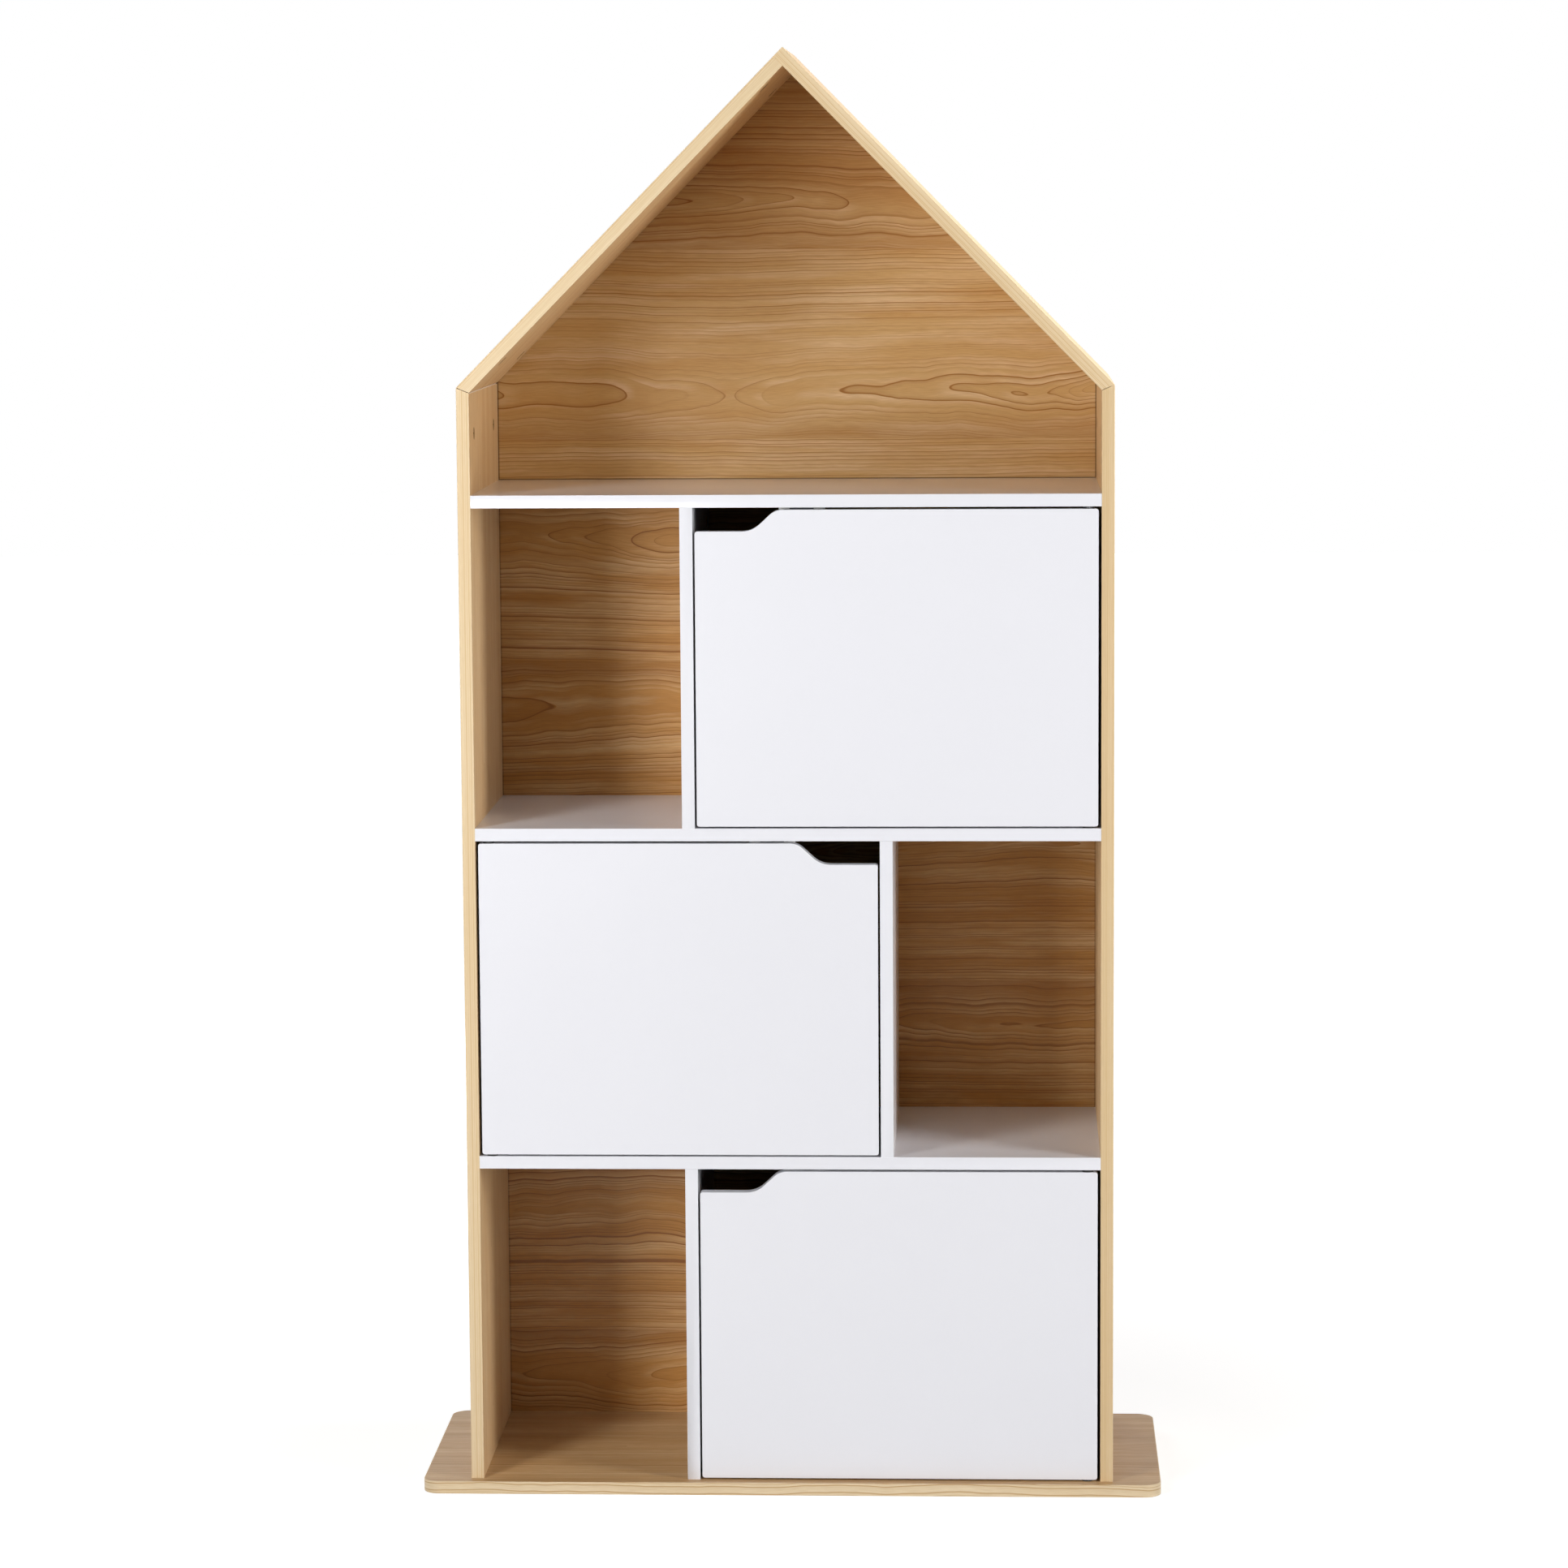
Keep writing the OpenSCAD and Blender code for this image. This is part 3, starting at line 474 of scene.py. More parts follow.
# zinc plating on drawn or stamped steel: small hard glints
bright = ("cfd2d6", "b4b7bb", (0.24, 0.4), 3, 0.3, 0.01, 1.0)
zinc_steel = plain_finish("zinc plated steel, bright", *bright)
# rolled sheet left oiled: the same glints, but darker
oily = ("7b7d81", "5c5e62", (0.3, 0.45), 3, 0.3, 0.01, 1.0)
pole_steel = plain_finish("rolled steel, oiled", *oily)
# passivated casting: a dull, brassy grey with a sandy skin
brassy = ("b79f73", "8f764a", (0.4, 0.58), 2, 0.35, 0.03, 1.0)
cast_zinc = plain_finish("die-cast zinc, yellow passivated", *brassy)
# a casting lacquered to go with the wood, so that the locks hardly show
browned = ("b08f66", "8f7048", (0.35, 0.5), 2, 0.35, 0.03)
lock_zinc = plain_finish("die-cast zinc, brown lacquer", *browned)
# moulded nylon: milky and half matt, and in black it vanishes in the doors' gaps
nylon = plain_finish("moulded white nylon", "eeede8", "e6e5df", (0.4, 0.5), 8, 0.5, 0.01)
dark_nylon = plain_finish("moulded black nylon", "2b2a2a", "222121", (0.4, 0.5), 8, 0.5, 0.01)
# ground ferrite: nearly black, dull and grainy, like slate
ferrite = plain_finish("sintered ferrite, ground", "37373a", "27272a", (0.5, 0.65), 1.5, 0.2, 0.03)
# turned beech: a pinkish tan with a rough, open skin
beech = plain_finish("turned beech", "d8b283", "c59a67", (0.6, 0.75), 4, 0.6, 0.05)


crumb_scale, crumb_gain = 700.0, 0.15  # crumbs of 1.4 mm, over a dark core


def cut_edge(name, outer, inner):
    """Raw edge where foil ends: pale in front and at mitres, board and painted shade at the rear.
    """
    finish = plain_finish(name, outer, outer, (0.5, 0.6), 6, 0.6, 0.02)
    tree = finish.node_tree
    put = partial(add, tree)
    spot = put("ShaderNodeTexCoord").outputs["Object"]
    parts = put("ShaderNodeSeparateXYZ", (spot,))
    # painted shade: the rear edges go darker than the raw board, as the groove against a back
    rear = put(MATH, (parts.outputs["Y"], back_y - board_t), "GREATER_THAN")
    crumbs = put(NOISE, {"Vector": spot, "Scale": crumb_scale, "Detail": 2.0})
    colour = paint(outer)
    for share, under in ((crumbs, inner), (crumb_gain, inner), (rear, outer)):
        colour = put(MIX, {0: share, 6: paint(under), 7: colour}, data_type="RGBA").outputs[2]
    feed(tree.nodes["Principled BSDF"], {"Base Color": colour})
    return finish


oak_cut_shaded_rear = cut_edge("cut edge of oak board, waxed", "eddcc8", "5f3c1c")
white_cut_shaded_rear = cut_edge("cut edge of white board, waxed", "eeeef3", "6b5138")
printed = ("printed", "pale")
names = [m.name for m in bpy.data.materials if not m.name.startswith(printed)]
print("plain finishes:", names)

# %% [markdown]
# ## Eased edges
#
# No real board has a knife edge. The doors are rounded by about a millimetre all round,
# the tape and the foil by half of that. That small curve catches the light as a bright
# line, or turns it away as a dark one, and is most of what tells the eye that two boards
# meet.
#
# A bevel on the whole solid would also round the drilled holes and the hidden joints. So
# only chosen edges get a bevel weight: long sharp ones that pass a test of place. The
# construction model's own mesh stays as it is, and a merged copy is rounded.
#
# A smooth curve next to a big flat face has one trap: the shading of the curve leaks far
# into the face, in long fans. Weighted normals stop that. They let the largest face at a
# corner decide which way the surface points there, so the flat faces stay flat.


# %% Rounding chosen edges
def edge_runs(edges):
    """Connected runs of edges."""
    left, runs = set(edges), []
    while left:
        run, rim = [], [left.pop()]
        while rim:
            edge = rim.pop()
            run.append(edge)
            for vert in edge.verts:
                for other in vert.link_edges:
                    if other in left:
                        left.remove(other)
                        rim.append(other)
        runs.append(run)
    return runs


touch, speck = 0.01 * MM, 0.001 * MM  # how close counts as on a plane, and as level


def open_mitres(work, name):
    """Draws the ends of the roof boards and walls back from the eaves' mitres by a hair."""
    if "shelf" in name:
        return
    side = -1 if name.startswith("left") else 1
    outer = Vector((side * side_x, 0, eave_z))
    across = Vector((-side * board_t, 0, -eave_drop)).normalized()
    normal = Vector((-across.z, 0, across.x))
    along_roof = Vector((-side * math.cos(roof_slope), 0, math.sin(roof_slope)))
    step = along_roof * mitre_gap if "roof" in name else Vector((0, 0, -mitre_gap))
    for vert in work.verts:
        reach = vert.co - outer
        if abs(reach.dot(normal)) < touch and abs(reach.dot(across)) < 1.5 * board_t:
            vert.co += step


def eased(name, finish, radius, wanted, cut=None, segments=3, shortest=25 * MM):
    """A copy of a construction node with its wanted outer edges rounded."""
    piece = bpy.data.objects.new(name + "_eased", nodes[name].data.copy())
    bpy.context.scene.collection.objects.link(piece)
    work = bmesh.new()
    work.from_mesh(piece.data)
    bmesh.ops.remove_doubles(work, verts=work.verts, dist=speck)
    flat = math.radians(0.5)
    bmesh.ops.dissolve_limit(work, angle_limit=flat, verts=work.verts, edges=work.edges)
    open_mitres(work, name)
    weight = work.edges.layers.float.new("bevel_weight_edge")
    sharp = [e for e in work.edges if e.is_manifold and e.calc_face_angle() > math.radians(30)]
    for face in work.faces:
        face.smooth = True
    for edge in sharp:
        edge.smooth = False
    chosen = [e for e in sharp if wanted(*(v.co for v in e.verts))]
    for run in edge_runs(chosen):
        points = [v.co for e in run for v in e.verts]
        if max((point - points[0]).length for point in points) > shortest:
            for edge in run:
                edge[weight], edge.smooth = 1.0, True
    work.to_mesh(piece.data)
    work.free()
    bevel = piece.modifiers.new("eased edge", "BEVEL")
    bevel.limit_method = "WEIGHT"
    bevel.width = radius
    bevel.segments = segments
    bevel.use_clamp_overlap = True
    if cut:
        piece.data.materials.clear()
        piece.data.materials.append(finish)
        piece.data.materials.append(cut)
        bevel.material = 1
    level = piece.modifiers.new("flat faces stay flat", "WEIGHTED_NORMAL")
    level.keep_sharp = True
    graph = bpy.context.evaluated_depsgraph_get()
    rounded = bpy.data.meshes.new_from_object(piece.evaluated_get(graph))
    piece.modifiers.clear()
    piece.data = rounded
    if not cut:
        rounded.materials.clear()
        rounded.materials.append(finish)
    check = bmesh.new()
    check.from_mesh(rounded)
    open_edges = sum(not e.is_manifold for e in check.edges)
    check.free()
    print(f"{piece.name}: {len(rounded.polygons)} faces, {open_edges} open edges")
    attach(piece, nodes[name]["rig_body"])
    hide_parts(name)
    return piece


# %% Ease the doors
def on_door_faces(a, b):
    on_face = min(abs(a.y - front_y), abs(a.y - door_rear_y)) < touch
    return on_face and abs(a.y - b.y) < touch


for name in row_names:
    eased(f"{name}_door", white_foil, 1.1 * MM, on_door_faces)


# %% Ease the shelves and the uprights
def at_board_end(a, b):
    return max(a.y, b.y) < front_y + touch or min(a.y, b.y) > back_y - touch


def along_shelf(a, b):
    return at_board_end(a, b) and abs(a.z - b.z) < speck


def along_upright(a, b):
    return at_board_end(a, b) and abs(a.x - b.x) < speck


for name in ("lower_shelf", "middle_shelf", "top_shelf"):
    eased(name, white_foil, 0.6 * MM, along_shelf, white_cut_shaded_rear)
for name in row_names:
    upright = eased(f"{name}_row_divider", white_foil, 0.6 * MM, along_upright, white_cut_shaded_rear)


# %% Ease the mitres and the rear edges of the walls and the roof
near_eave = eave_z - 10 * MM


def mitre_or_rear(a, b):
    across = abs(a.x - b.x) < speck and abs(a.z - b.z) < speck
    rear = min(a.y, b.y) > back_y - touch
    return (across and min(a.z, b.z) > near_eave) or (rear and abs(a.z - b.z) > 1 * MM)


for name in ("left_side_panel", "right_side_panel", "left_roof_panel", "right_roof_panel"):
    eased(name, board_finishes[name], 0.7 * MM, mitre_or_rear, oak_cut_shaded_rear)


# %% Ease the edge tapes
def on_front(a, b):
    return max(a.y, b.y) < front_y + touch


for name in ("left_side", "right_side", "left_roof", "right_roof"):
    tape_name = f"{name}_edge_band"
    eased(tape_name, band_finishes[tape_name], 0.5 * MM, on_front)

# where the base board's rounded corners have their middle, and their radius
corner_x, corner_y, corner_r = 418 * MM, 148 * MM, 20 * MM


def on_base_rim(a, b):
    """On the outer line of the base board's tape, round its corners as well."""
    for p in (a, b):
        over_x, over_y = abs(p.x) - corner_x, abs(p.y) - corner_y
        reach = max(over_x, over_y) if min(over_x, over_y) < 0 else math.hypot(over_x, over_y)
        if reach < corner_r - 0.4 * MM:
            return False
    return abs(a.z - b.z) < speck


base_band = eased("base_edge_band", band_finishes["base_edge_band"], 0.7 * MM, on_base_rim)

# %% [markdown]
# ## Dress the rest
#
# The other boards and fittings already have their true shape in the construction model,
# so they stay, and only take on their finish.

# %% Give the remaining pieces their finish
finish_of = dict(board_finishes)
for finish, endings in (
    (zinc_steel, ("door_pins", "strike_plate", "bolts", "base_screws", "nails")),
    (pole_steel, "pole_plates"),
    (nylon, "housings"),
    (dark_nylon, "bushes"),
    (cast_zinc, ("strike_screw", "catch_screws")),
    (lock_zinc, "cam_locks"),
    (ferrite, "magnets"),
    (beech, "dowels"),
):
    finish_of.update({name: finish for name in nodes if name.endswith(endings)})
for name, finish in finish_of.items():
    mesh = nodes[name].data
    mesh.materials.clear()
    mesh.materials.append(finish)
print("dressed in place:", len(finish_of))

# %% [markdown]
# ## Small fittings, set out by rule
#
# Nails, screws and cam locks are each one shape that comes many times, at places that
# follow from the boards. Geometry Nodes suit that well: one tree makes the shape from
# named sizes, sets it out on marks, and turns each one a little, as a hand would leave
# it. A fixed seed keeps those turns the same every time. At the end the copies become
# real faces, so that the piece is a plain mesh like every other.
#
# A mark is a point that also knows which way its fitting faces, and which way the board
# runs from it. With both, a lock on the sloping roof lies as true as one on a shelf.


# %% Marks and trees
CYLINDER, CONE, BOX = (f"GeometryNodeMesh{shape}" for shape in ("Cylinder", "Cone", "Cube"))
MOVE, BOOLEAN = "GeometryNodeTransform", "GeometryNodeMeshBoolean"


def new_tree(name, sizes):
    """An empty Geometry Nodes tree with named sizes in metres, a seed and a finish."""
    tree = bpy.data.node_groups.new(name, "GeometryNodeTree")
    tree.interface.new_socket("Geometry", in_out="INPUT", socket_type="NodeSocketGeometry")
    for size in sizes:
        tree.interface.new_socket(size, in_out="INPUT", socket_type="NodeSocketFloat")
    tree.interface.new_socket("Seed", in_out="INPUT", socket_type="NodeSocketInt")
    tree.interface.new_socket("Finish", in_out="INPUT", socket_type="NodeSocketMaterial")
    tree.interface.new_socket("Geometry", in_out="OUTPUT", socket_type="NodeSocketGeometry")
    return tree, tree.nodes.new("NodeGroupInput").outputs


def close_tree(tree, shape, marks, rotation, finish):
    """Sets the shape out on the marks, makes it real and gives it its finish."""
    copies = {"Points": marks, "Instance": shape, "Rotation": rotation}
    spread = add(tree, "GeometryNodeInstanceOnPoints", copies)
    real = add(tree, "GeometryNodeRealizeInstances", {"Geometry": spread})
    coated = add(tree, "GeometryNodeSetMaterial", {"Geometry": real, "Material": finish})
    add(tree, "NodeGroupOutput", {"Geometry": coated})


def mark_mesh(name, marks):
    """Points with the direction that each fitting faces, and the one that it reaches in."""
    mesh = bpy.data.meshes.new(name)
    mesh.from_pydata([place for place, facing, reach in marks], [], [])
    for index, label in ((1, "facing"), (2, "reach")):
        column = mesh.attributes.new(label, "FLOAT_VECTOR", "POINT")
        column.data.foreach_set("vector", [n for mark in marks for n in mark[index]])
    return mesh


def set_out(name, mesh, tree, values, node):
    """Runs a tree on its marks, and puts the plain mesh in the construction node's place."""
    piece = bpy.data.objects.new(name, mesh)
    bpy.context.scene.collection.objects.link(piece)
    maker = piece.modifiers.new(tree.name, "NODES")
    maker.node_group = tree
    for item in tree.interface.items_tree:
        if item.in_out == "INPUT" and item.name in values:
            maker[item.identifier] = values[item.name]
    graph = bpy.context.evaluated_depsgraph_get()
    made = bpy.data.meshes.new_from_object(piece.evaluated_get(graph))
    piece.modifiers.clear()
    piece.data = made
    made.shade_smooth()
    made.set_sharp_from_angle(angle=math.radians(35))
    made.materials.clear()
    made.materials.append(values["Finish"])
    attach(piece, nodes[node]["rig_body"])
    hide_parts(node)
    print(f"{name}: {len(made.polygons)} faces, material {made.materials[0].name}")
    return piece


# %% [markdown]
# ### Nails
#
# The thin backs are nailed to the rear edges of the boards. A nail line is an edge from
# the first nail to the last. The tree counts how many steps of the pitch fit on it and
# divides it evenly, which is what a maker does with a rule. A nail's head is a small
# stamped disc, a little domed, and hardly any of them lies quite level.

# %% Tree for a line of nails
measures = ["Pitch", "Head Radius", "Head Height", "Dome", "Shank Radius", "Length", "Tilt"]
nailing, given = new_tree("nails along a line", measures)
put = partial(add, nailing)
lines = put("GeometryNodeMeshToCurve", {"Mesh": given["Geometry"]})
steps = (put("GeometryNodeSplineLength").outputs["Length"], given["Pitch"])
steps = put(MATH, steps, "DIVIDE")
steps = put(MATH, (steps,), "CEIL")
steps = put(MATH, (steps, 1.0), "ADD")
spots = put("GeometryNodeResampleCurve", {"Curve": lines, "Count": steps}, mode="COUNT")

disc = {"Radius": given["Head Radius"], "Depth": given["Head Height"]}
disc = {"Vertices": 16, "Fill Segments": 3, **disc}
head = put(CYLINDER, disc, fill_type="TRIANGLE_FAN")
parts = put("ShaderNodeSeparateXYZ", (put("GeometryNodeInputPosition"),))
flat = put(XYZ, (parts.outputs["X"], parts.outputs["Y"]))
out = put("ShaderNodeVectorMath", (flat,), "LENGTH")
out = (out.outputs["Value"], given["Head Radius"])
out = put(MATH, out, "DIVIDE")
out = put(MATH, (out, 2.0), "POWER")
drop = put(MATH, (out, given["Dome"]), "MULTIPLY")
drop = put(MATH, (drop, -1.0), "MULTIPLY")
lower = put(XYZ, {2: drop})
upper = (parts.outputs["Z"], 0.0)
upper = put("FunctionNodeCompare", upper, "GREATER_THAN")
domed = {"Geometry": head, "Selection": upper, "Offset": lower}
head = put("GeometryNodeSetPosition", domed)
half_head = put(MATH, (given["Head Height"], -0.5), "MULTIPLY")
head_at = put(XYZ, {2: half_head})
head = put(MOVE, {"Geometry": head, "Translation": head_at})

shank_l = (given["Length"], given["Head Height"])
shank_l = put(MATH, shank_l, "SUBTRACT")
point_r = put(MATH, (given["Shank Radius"], 0.15), "MULTIPLY")
spike = {"Radius Top": given["Shank Radius"], "Radius Bottom": point_r}
shank = put(CONE, {"Vertices": 8, "Depth": shank_l, **spike})
nail_l = put(MATH, (given["Length"], -1.0), "MULTIPLY")
shank_at = put(XYZ, {2: nail_l})
shank = put(MOVE, {"Geometry": shank, "Translation": shank_at})
nail = put("GeometryNodeJoinGeometry", {"Geometry": head})
feed(nail, {"Geometry": shank})

wobble = put(MATH, (given["Tilt"], -1.0), "MULTIPLY")
lowest = put(XYZ, {0: wobble, 2: wobble})
highest = put(XYZ, {0: given["Tilt"], 2: given["Tilt"]})
lean = {"Min": lowest, "Max": highest, "Seed": given["Seed"]}
lean = put("FunctionNodeRandomValue", lean, data_type="FLOAT_VECTOR")
level = (math.radians(-90), 0, 0)
rearward = put("ShaderNodeVectorMath", (lean, level), "ADD")
close_tree(nailing, nail, spots, rearward, given["Finish"])
print("nail tree:", len(nailing.nodes), "nodes")

# %% Nail the backs on
nail_pitch, nail_end = 150 * MM, 20 * MM
rear_y = 168 * MM
side_mid_x = 373.5 * MM
mitre_z = eave_z - eave_drop / 2
slope_l = side_mid_x / math.cos(roof_slope)
nail_lines = []
for shelf_mid in (ceiling + board_t / 2 for ceiling in row_ceilings):
    for side in (-1, 1):
        level = shelf_mid + side * board_t / 4
        nail_lines.append([(-inner_x + nail_end, level), (inner_x - nail_end, level)])
for floor_z, ceiling, divider_x in zip(row_floors, row_ceilings, divider_xs):
    quarter = (ceiling - floor_z) / 4
    nail_lines.append([(divider_x, floor_z + quarter), (divider_x, ceiling - quarter)])
for side in (-1, 1):
    wall = side * side_mid_x
    for floor_z, ceiling in zip(row_floors, row_ceilings):
        nail_lines.append([(wall, floor_z + nail_end), (wall, ceiling - nail_end)])
    nail_lines.append([(wall, attic_floor + nail_end), (wall, eave_z - eave_drop - nail_end)])
    ends = (nail_end, slope_l - nail_end)
    slope_x, slope_z = -side * math.cos(roof_slope), math.sin(roof_slope)
    nail_lines.append([(wall + t * slope_x, mitre_z + t * slope_z) for t in ends])
corners = [(x, rear_y, z) for nail_line in nail_lines for x, z in nail_line]
guide = bpy.data.meshes.new("nail lines")
guide.from_pydata(corners, [(i, i + 1) for i in range(0, len(corners), 2)], [])
nail_sizes = {
    "Pitch": nail_pitch,
    "Head Radius": 1.6 * MM,
    "Head Height": 0.6 * MM,
    "Dome": 0.22 * MM,
    "Shank Radius": 0.7 * MM,
    "Length": 18 * MM,
    "Tilt": math.radians(1.6),
    "Seed": 4,
    "Finish": zinc_steel,
}
set_out("nails_of_the_backs", guide, nailing, nail_sizes, "back_nails")
print("nail lines:", len(nail_lines))

# %% [markdown]
# ### Cam locks
#
# A cam lock is a die-cast drum in a pocket of the board. Turned with a screwdriver, it
# draws in the head of a bolt that sticks out of the other board. Its face has a cross
# slot, a raised rim and a small arrow that shows where the bolt comes in. The drum is a
# cylinder with those shapes taken away from it.

# %% Tree for cam locks
measures = ["Radius", "Height", "Rim", "Slot Length", "Slot Width", "Slot Depth"]
measures += ["Bore Radius", "Bore Depth", "Turn"]
locking, given = new_tree("cam locks", measures)
put = partial(add, locking)
drum = {"Vertices": 40, "Radius": given["Radius"], "Depth": given["Height"]}
drum = put(CYLINDER, drum)
sunk = put(MATH, (given["Height"], -0.5), "MULTIPLY")
drum_at = put(XYZ, {2: sunk})
lock = put(MOVE, {"Geometry": drum, "Translation": drum_at})

dish_r = put(MATH, (given["Radius"], given["Rim"]), "SUBTRACT")
cutters = [put(CYLINDER, {"Vertices": 40, "Radius": dish_r, "Depth": given["Rim"]})]
slot_tall = put(MATH, (given["Slot Depth"], 2.0), "MULTIPLY")
for first, second in (("Slot Length", "Slot Width"), ("Slot Width", "Slot Length")):
    size = put(XYZ, (given[first], given[second], slot_tall))
    cutters.append(put(BOX, {"Size": size}))
arrow_r = put(MATH, (given["Radius"], 0.15), "MULTIPLY")
arrow = put(CYLINDER, {"Vertices": 3, "Radius": arrow_r, "Depth": given["Slot Depth"]})
arrow_x = put(MATH, (given["Radius"], 0.7), "MULTIPLY")
arrow_at = put(XYZ, (arrow_x,))
cutters.append(put(MOVE, {"Geometry": arrow, "Translation": arrow_at}))
bore = {"Vertices": 24, "Radius": given["Bore Radius"], "Depth": given["Bore Depth"]}
bore = put(CYLINDER, bore)
past_middle = -2.2 * MM
half_bore = (given["Bore Depth"], 0.5, past_middle)
half_bore = put(MATH, half_bore, "MULTIPLY_ADD")
bore_at = put(XYZ, {0: half_bore, 2: -board_t / 2})
lying = Euler((0, math.radians(90), 0))
bore = {"Geometry": bore, "Translation": bore_at, "Rotation": lying}
cutters.append(put(MOVE, bore))
for cutter in cutters:
    pair = {"Mesh 1": lock, "Mesh 2": cutter}
    lock = put(BOOLEAN, pair, "DIFFERENCE", solver="EXACT")


def aimed(tree, given):
    """Rotation of each mark's fitting, with its small random turn."""
    put = partial(add, tree)
    axes = []
    for label in ("facing", "reach"):
        named = {"Name": label}
        axis = put("GeometryNodeInputNamedAttribute", named, data_type="FLOAT_VECTOR")
        axes.append(axis.outputs["Attribute"])
    axes = {"Primary Axis": axes[0], "Secondary Axis": axes[1]}
    true = put("FunctionNodeAxesToRotation", axes, primary_axis="Z", secondary_axis="X")
    back = put(MATH, (given["Turn"], -1.0), "MULTIPLY")
    chance = {2: back, 3: given["Turn"], "Seed": given["Seed"]}
    chance = put("FunctionNodeRandomValue", chance, data_type="FLOAT").outputs[1]
    spin = put("FunctionNodeAxisAngleToRotation", {"Axis": (0, 0, 1), "Angle": chance})
    turned = {"Rotation": true, "Rotate By": spin}
    return put("FunctionNodeRotateRotation", turned, rotation_space="LOCAL")


close_tree(locking, lock, given["Geometry"], aimed(locking, given), given["Finish"])
print("cam lock tree:", len(locking.nodes), "nodes")

# %% [markdown]
# A joint is written as the place where one board ends against another, the direction in
# which the ending board leaves it, and the side of that board which holds the locks.
# From these four numbers follow the mark, the way it faces and the way the bolt comes.

# %% Set out the cam locks
fitting_ys = [front_y + 50 * MM, back_y - 50 * MM]
cam_setback, mitre_setback = 34 * MM, 52 * MM
angle = math.degrees(roof_slope)


def joint_marks(joints, setback, lift=board_t / 2):
    marks = []
    for x, z, degrees, side in joints:
        turn = math.radians(degrees)
        leaving = Vector((math.cos(turn), 0, math.sin(turn)))
        facing = side * Vector((-math.sin(turn), 0, math.cos(turn)))
        for y in fitting_ys:
            marks.append((Vector((x, y, z)) + setback * leaving + lift * facing, facing, -leaving))
    return marks


shelf_joints, divider_joints = [], []
rows = zip(row_floors, row_ceilings, divider_xs, door_sides)
for row, (floor_z, ceiling, divider_x, side) in enumerate(rows):
    level = ceiling + board_t / 2
    shelf_joints += [(-inner_x, level, 0, -1), (inner_x, level, 180, 1)]
    divider_joints.append((divider_x, ceiling, -90, side))
    if row > 0:
        divider_joints.append((divider_x, floor_z, 90, -side))
butt_x = -board_t / (2 * math.sin(roof_slope))
butt_z = eave_z + (side_x + butt_x) * math.tan(roof_slope)
ridge_in_z = eave_z + side_x * math.tan(roof_slope) - board_t / math.cos(roof_slope)
ridge_joints = [(butt_x / 2, (butt_z + ridge_in_z) / 2, 180 + angle, 1)]
eave_joints = []
for side in (-1, 1):
    eave_joints.append((side * side_mid_x, mitre_z, -90, -side))
    eave_joints.append((side * side_mid_x, mitre_z, angle if side < 0 else 180 - angle, side))
lock_sizes = {
    "Radius": 7.5 * MM,
    "Height": 12 * MM,
    "Rim": 0.8 * MM,
    "Slot Length": 9 * MM,
    "Slot Width": 1.6 * MM,
    "Slot Depth": 2 * MM,
    "Bore Radius": 3.7 * MM,
    "Bore Depth": 12 * MM,
    "Turn": math.radians(3),
    "Finish": lock_zinc,
}
eave_marks = joint_marks(eave_joints, mitre_setback)
lock_groups = {
    "shelf_cam_locks": joint_marks(shelf_joints, cam_setback),
    "divider_cam_locks": joint_marks(divider_joints, cam_setback),
    "roof_cam_locks": joint_marks(ridge_joints, cam_setback) + eave_marks,
}
for seed_value, (name, marks) in enumerate(lock_groups.items()):
    values = dict(lock_sizes, Seed=seed_value)
    set_out(f"{name}_slotted", mark_mesh(name, marks), locking, values, name)
    print(name, len(marks), "locks")

# %% [markdown]
# ### Cross head screws
#
# The catches hang on pan head screws, the strike plates are held by flush ones, and thick
# screws come up through the base board. They are one shape in three sizes: a head that
# widens or narrows towards its face, a shank, and a cross that the driver fits.

# %% Tree for cross head screws
measures = ["Face Radius", "Neck Radius", "Head Height", "Shank Radius", "Length"]
measures += ["Cross Length", "Cross Width", "Cross Depth", "Turn"]
driving, given = new_tree("cross head screws", measures)
put = partial(add, driving)
head = {"Radius Top": given["Face Radius"], "Radius Bottom": given["Neck Radius"]}
head = put(CONE, {"Vertices": 32, "Depth": given["Head Height"], **head})
sunk = put(MATH, (given["Head Height"], -1.0), "MULTIPLY")
head_at = put(XYZ, {2: sunk})
head = put(MOVE, {"Geometry": head, "Translation": head_at})
half_head = put(MATH, (given["Head Height"], 0.5), "MULTIPLY")
shank_l = put(MATH, (given["Length"], half_head), "SUBTRACT")
shank = {"Vertices": 24, "Radius": given["Shank Radius"], "Depth": shank_l}
shank = put(CYLINDER, shank)
both_ends = put(MATH, (given["Length"], half_head), "ADD")
shank_mid = put(MATH, (both_ends, -0.5), "MULTIPLY")
shank_at = put(XYZ, {2: shank_mid})
shank = put(MOVE, {"Geometry": shank, "Translation": shank_at})
screw = put(BOOLEAN, {"Mesh 2": head}, "UNION", solver="EXACT")
feed(screw, {"Mesh 2": shank})
tall = put(MATH, (given["Cross Depth"], 2.0), "MULTIPLY")
for first, second in (("Cross Length", "Cross Width"), ("Cross Width", "Cross Length")):
    size = put(XYZ, (given[first], given[second], tall))
    pair = {"Mesh 1": screw, "Mesh 2": put(BOX, {"Size": size})}
    screw = put(BOOLEAN, pair, "DIFFERENCE", solver="EXACT")
close_tree(driving, screw, given["Geometry"], aimed(driving, given), given["Finish"])
print("screw tree:", len(driving.nodes), "nodes")

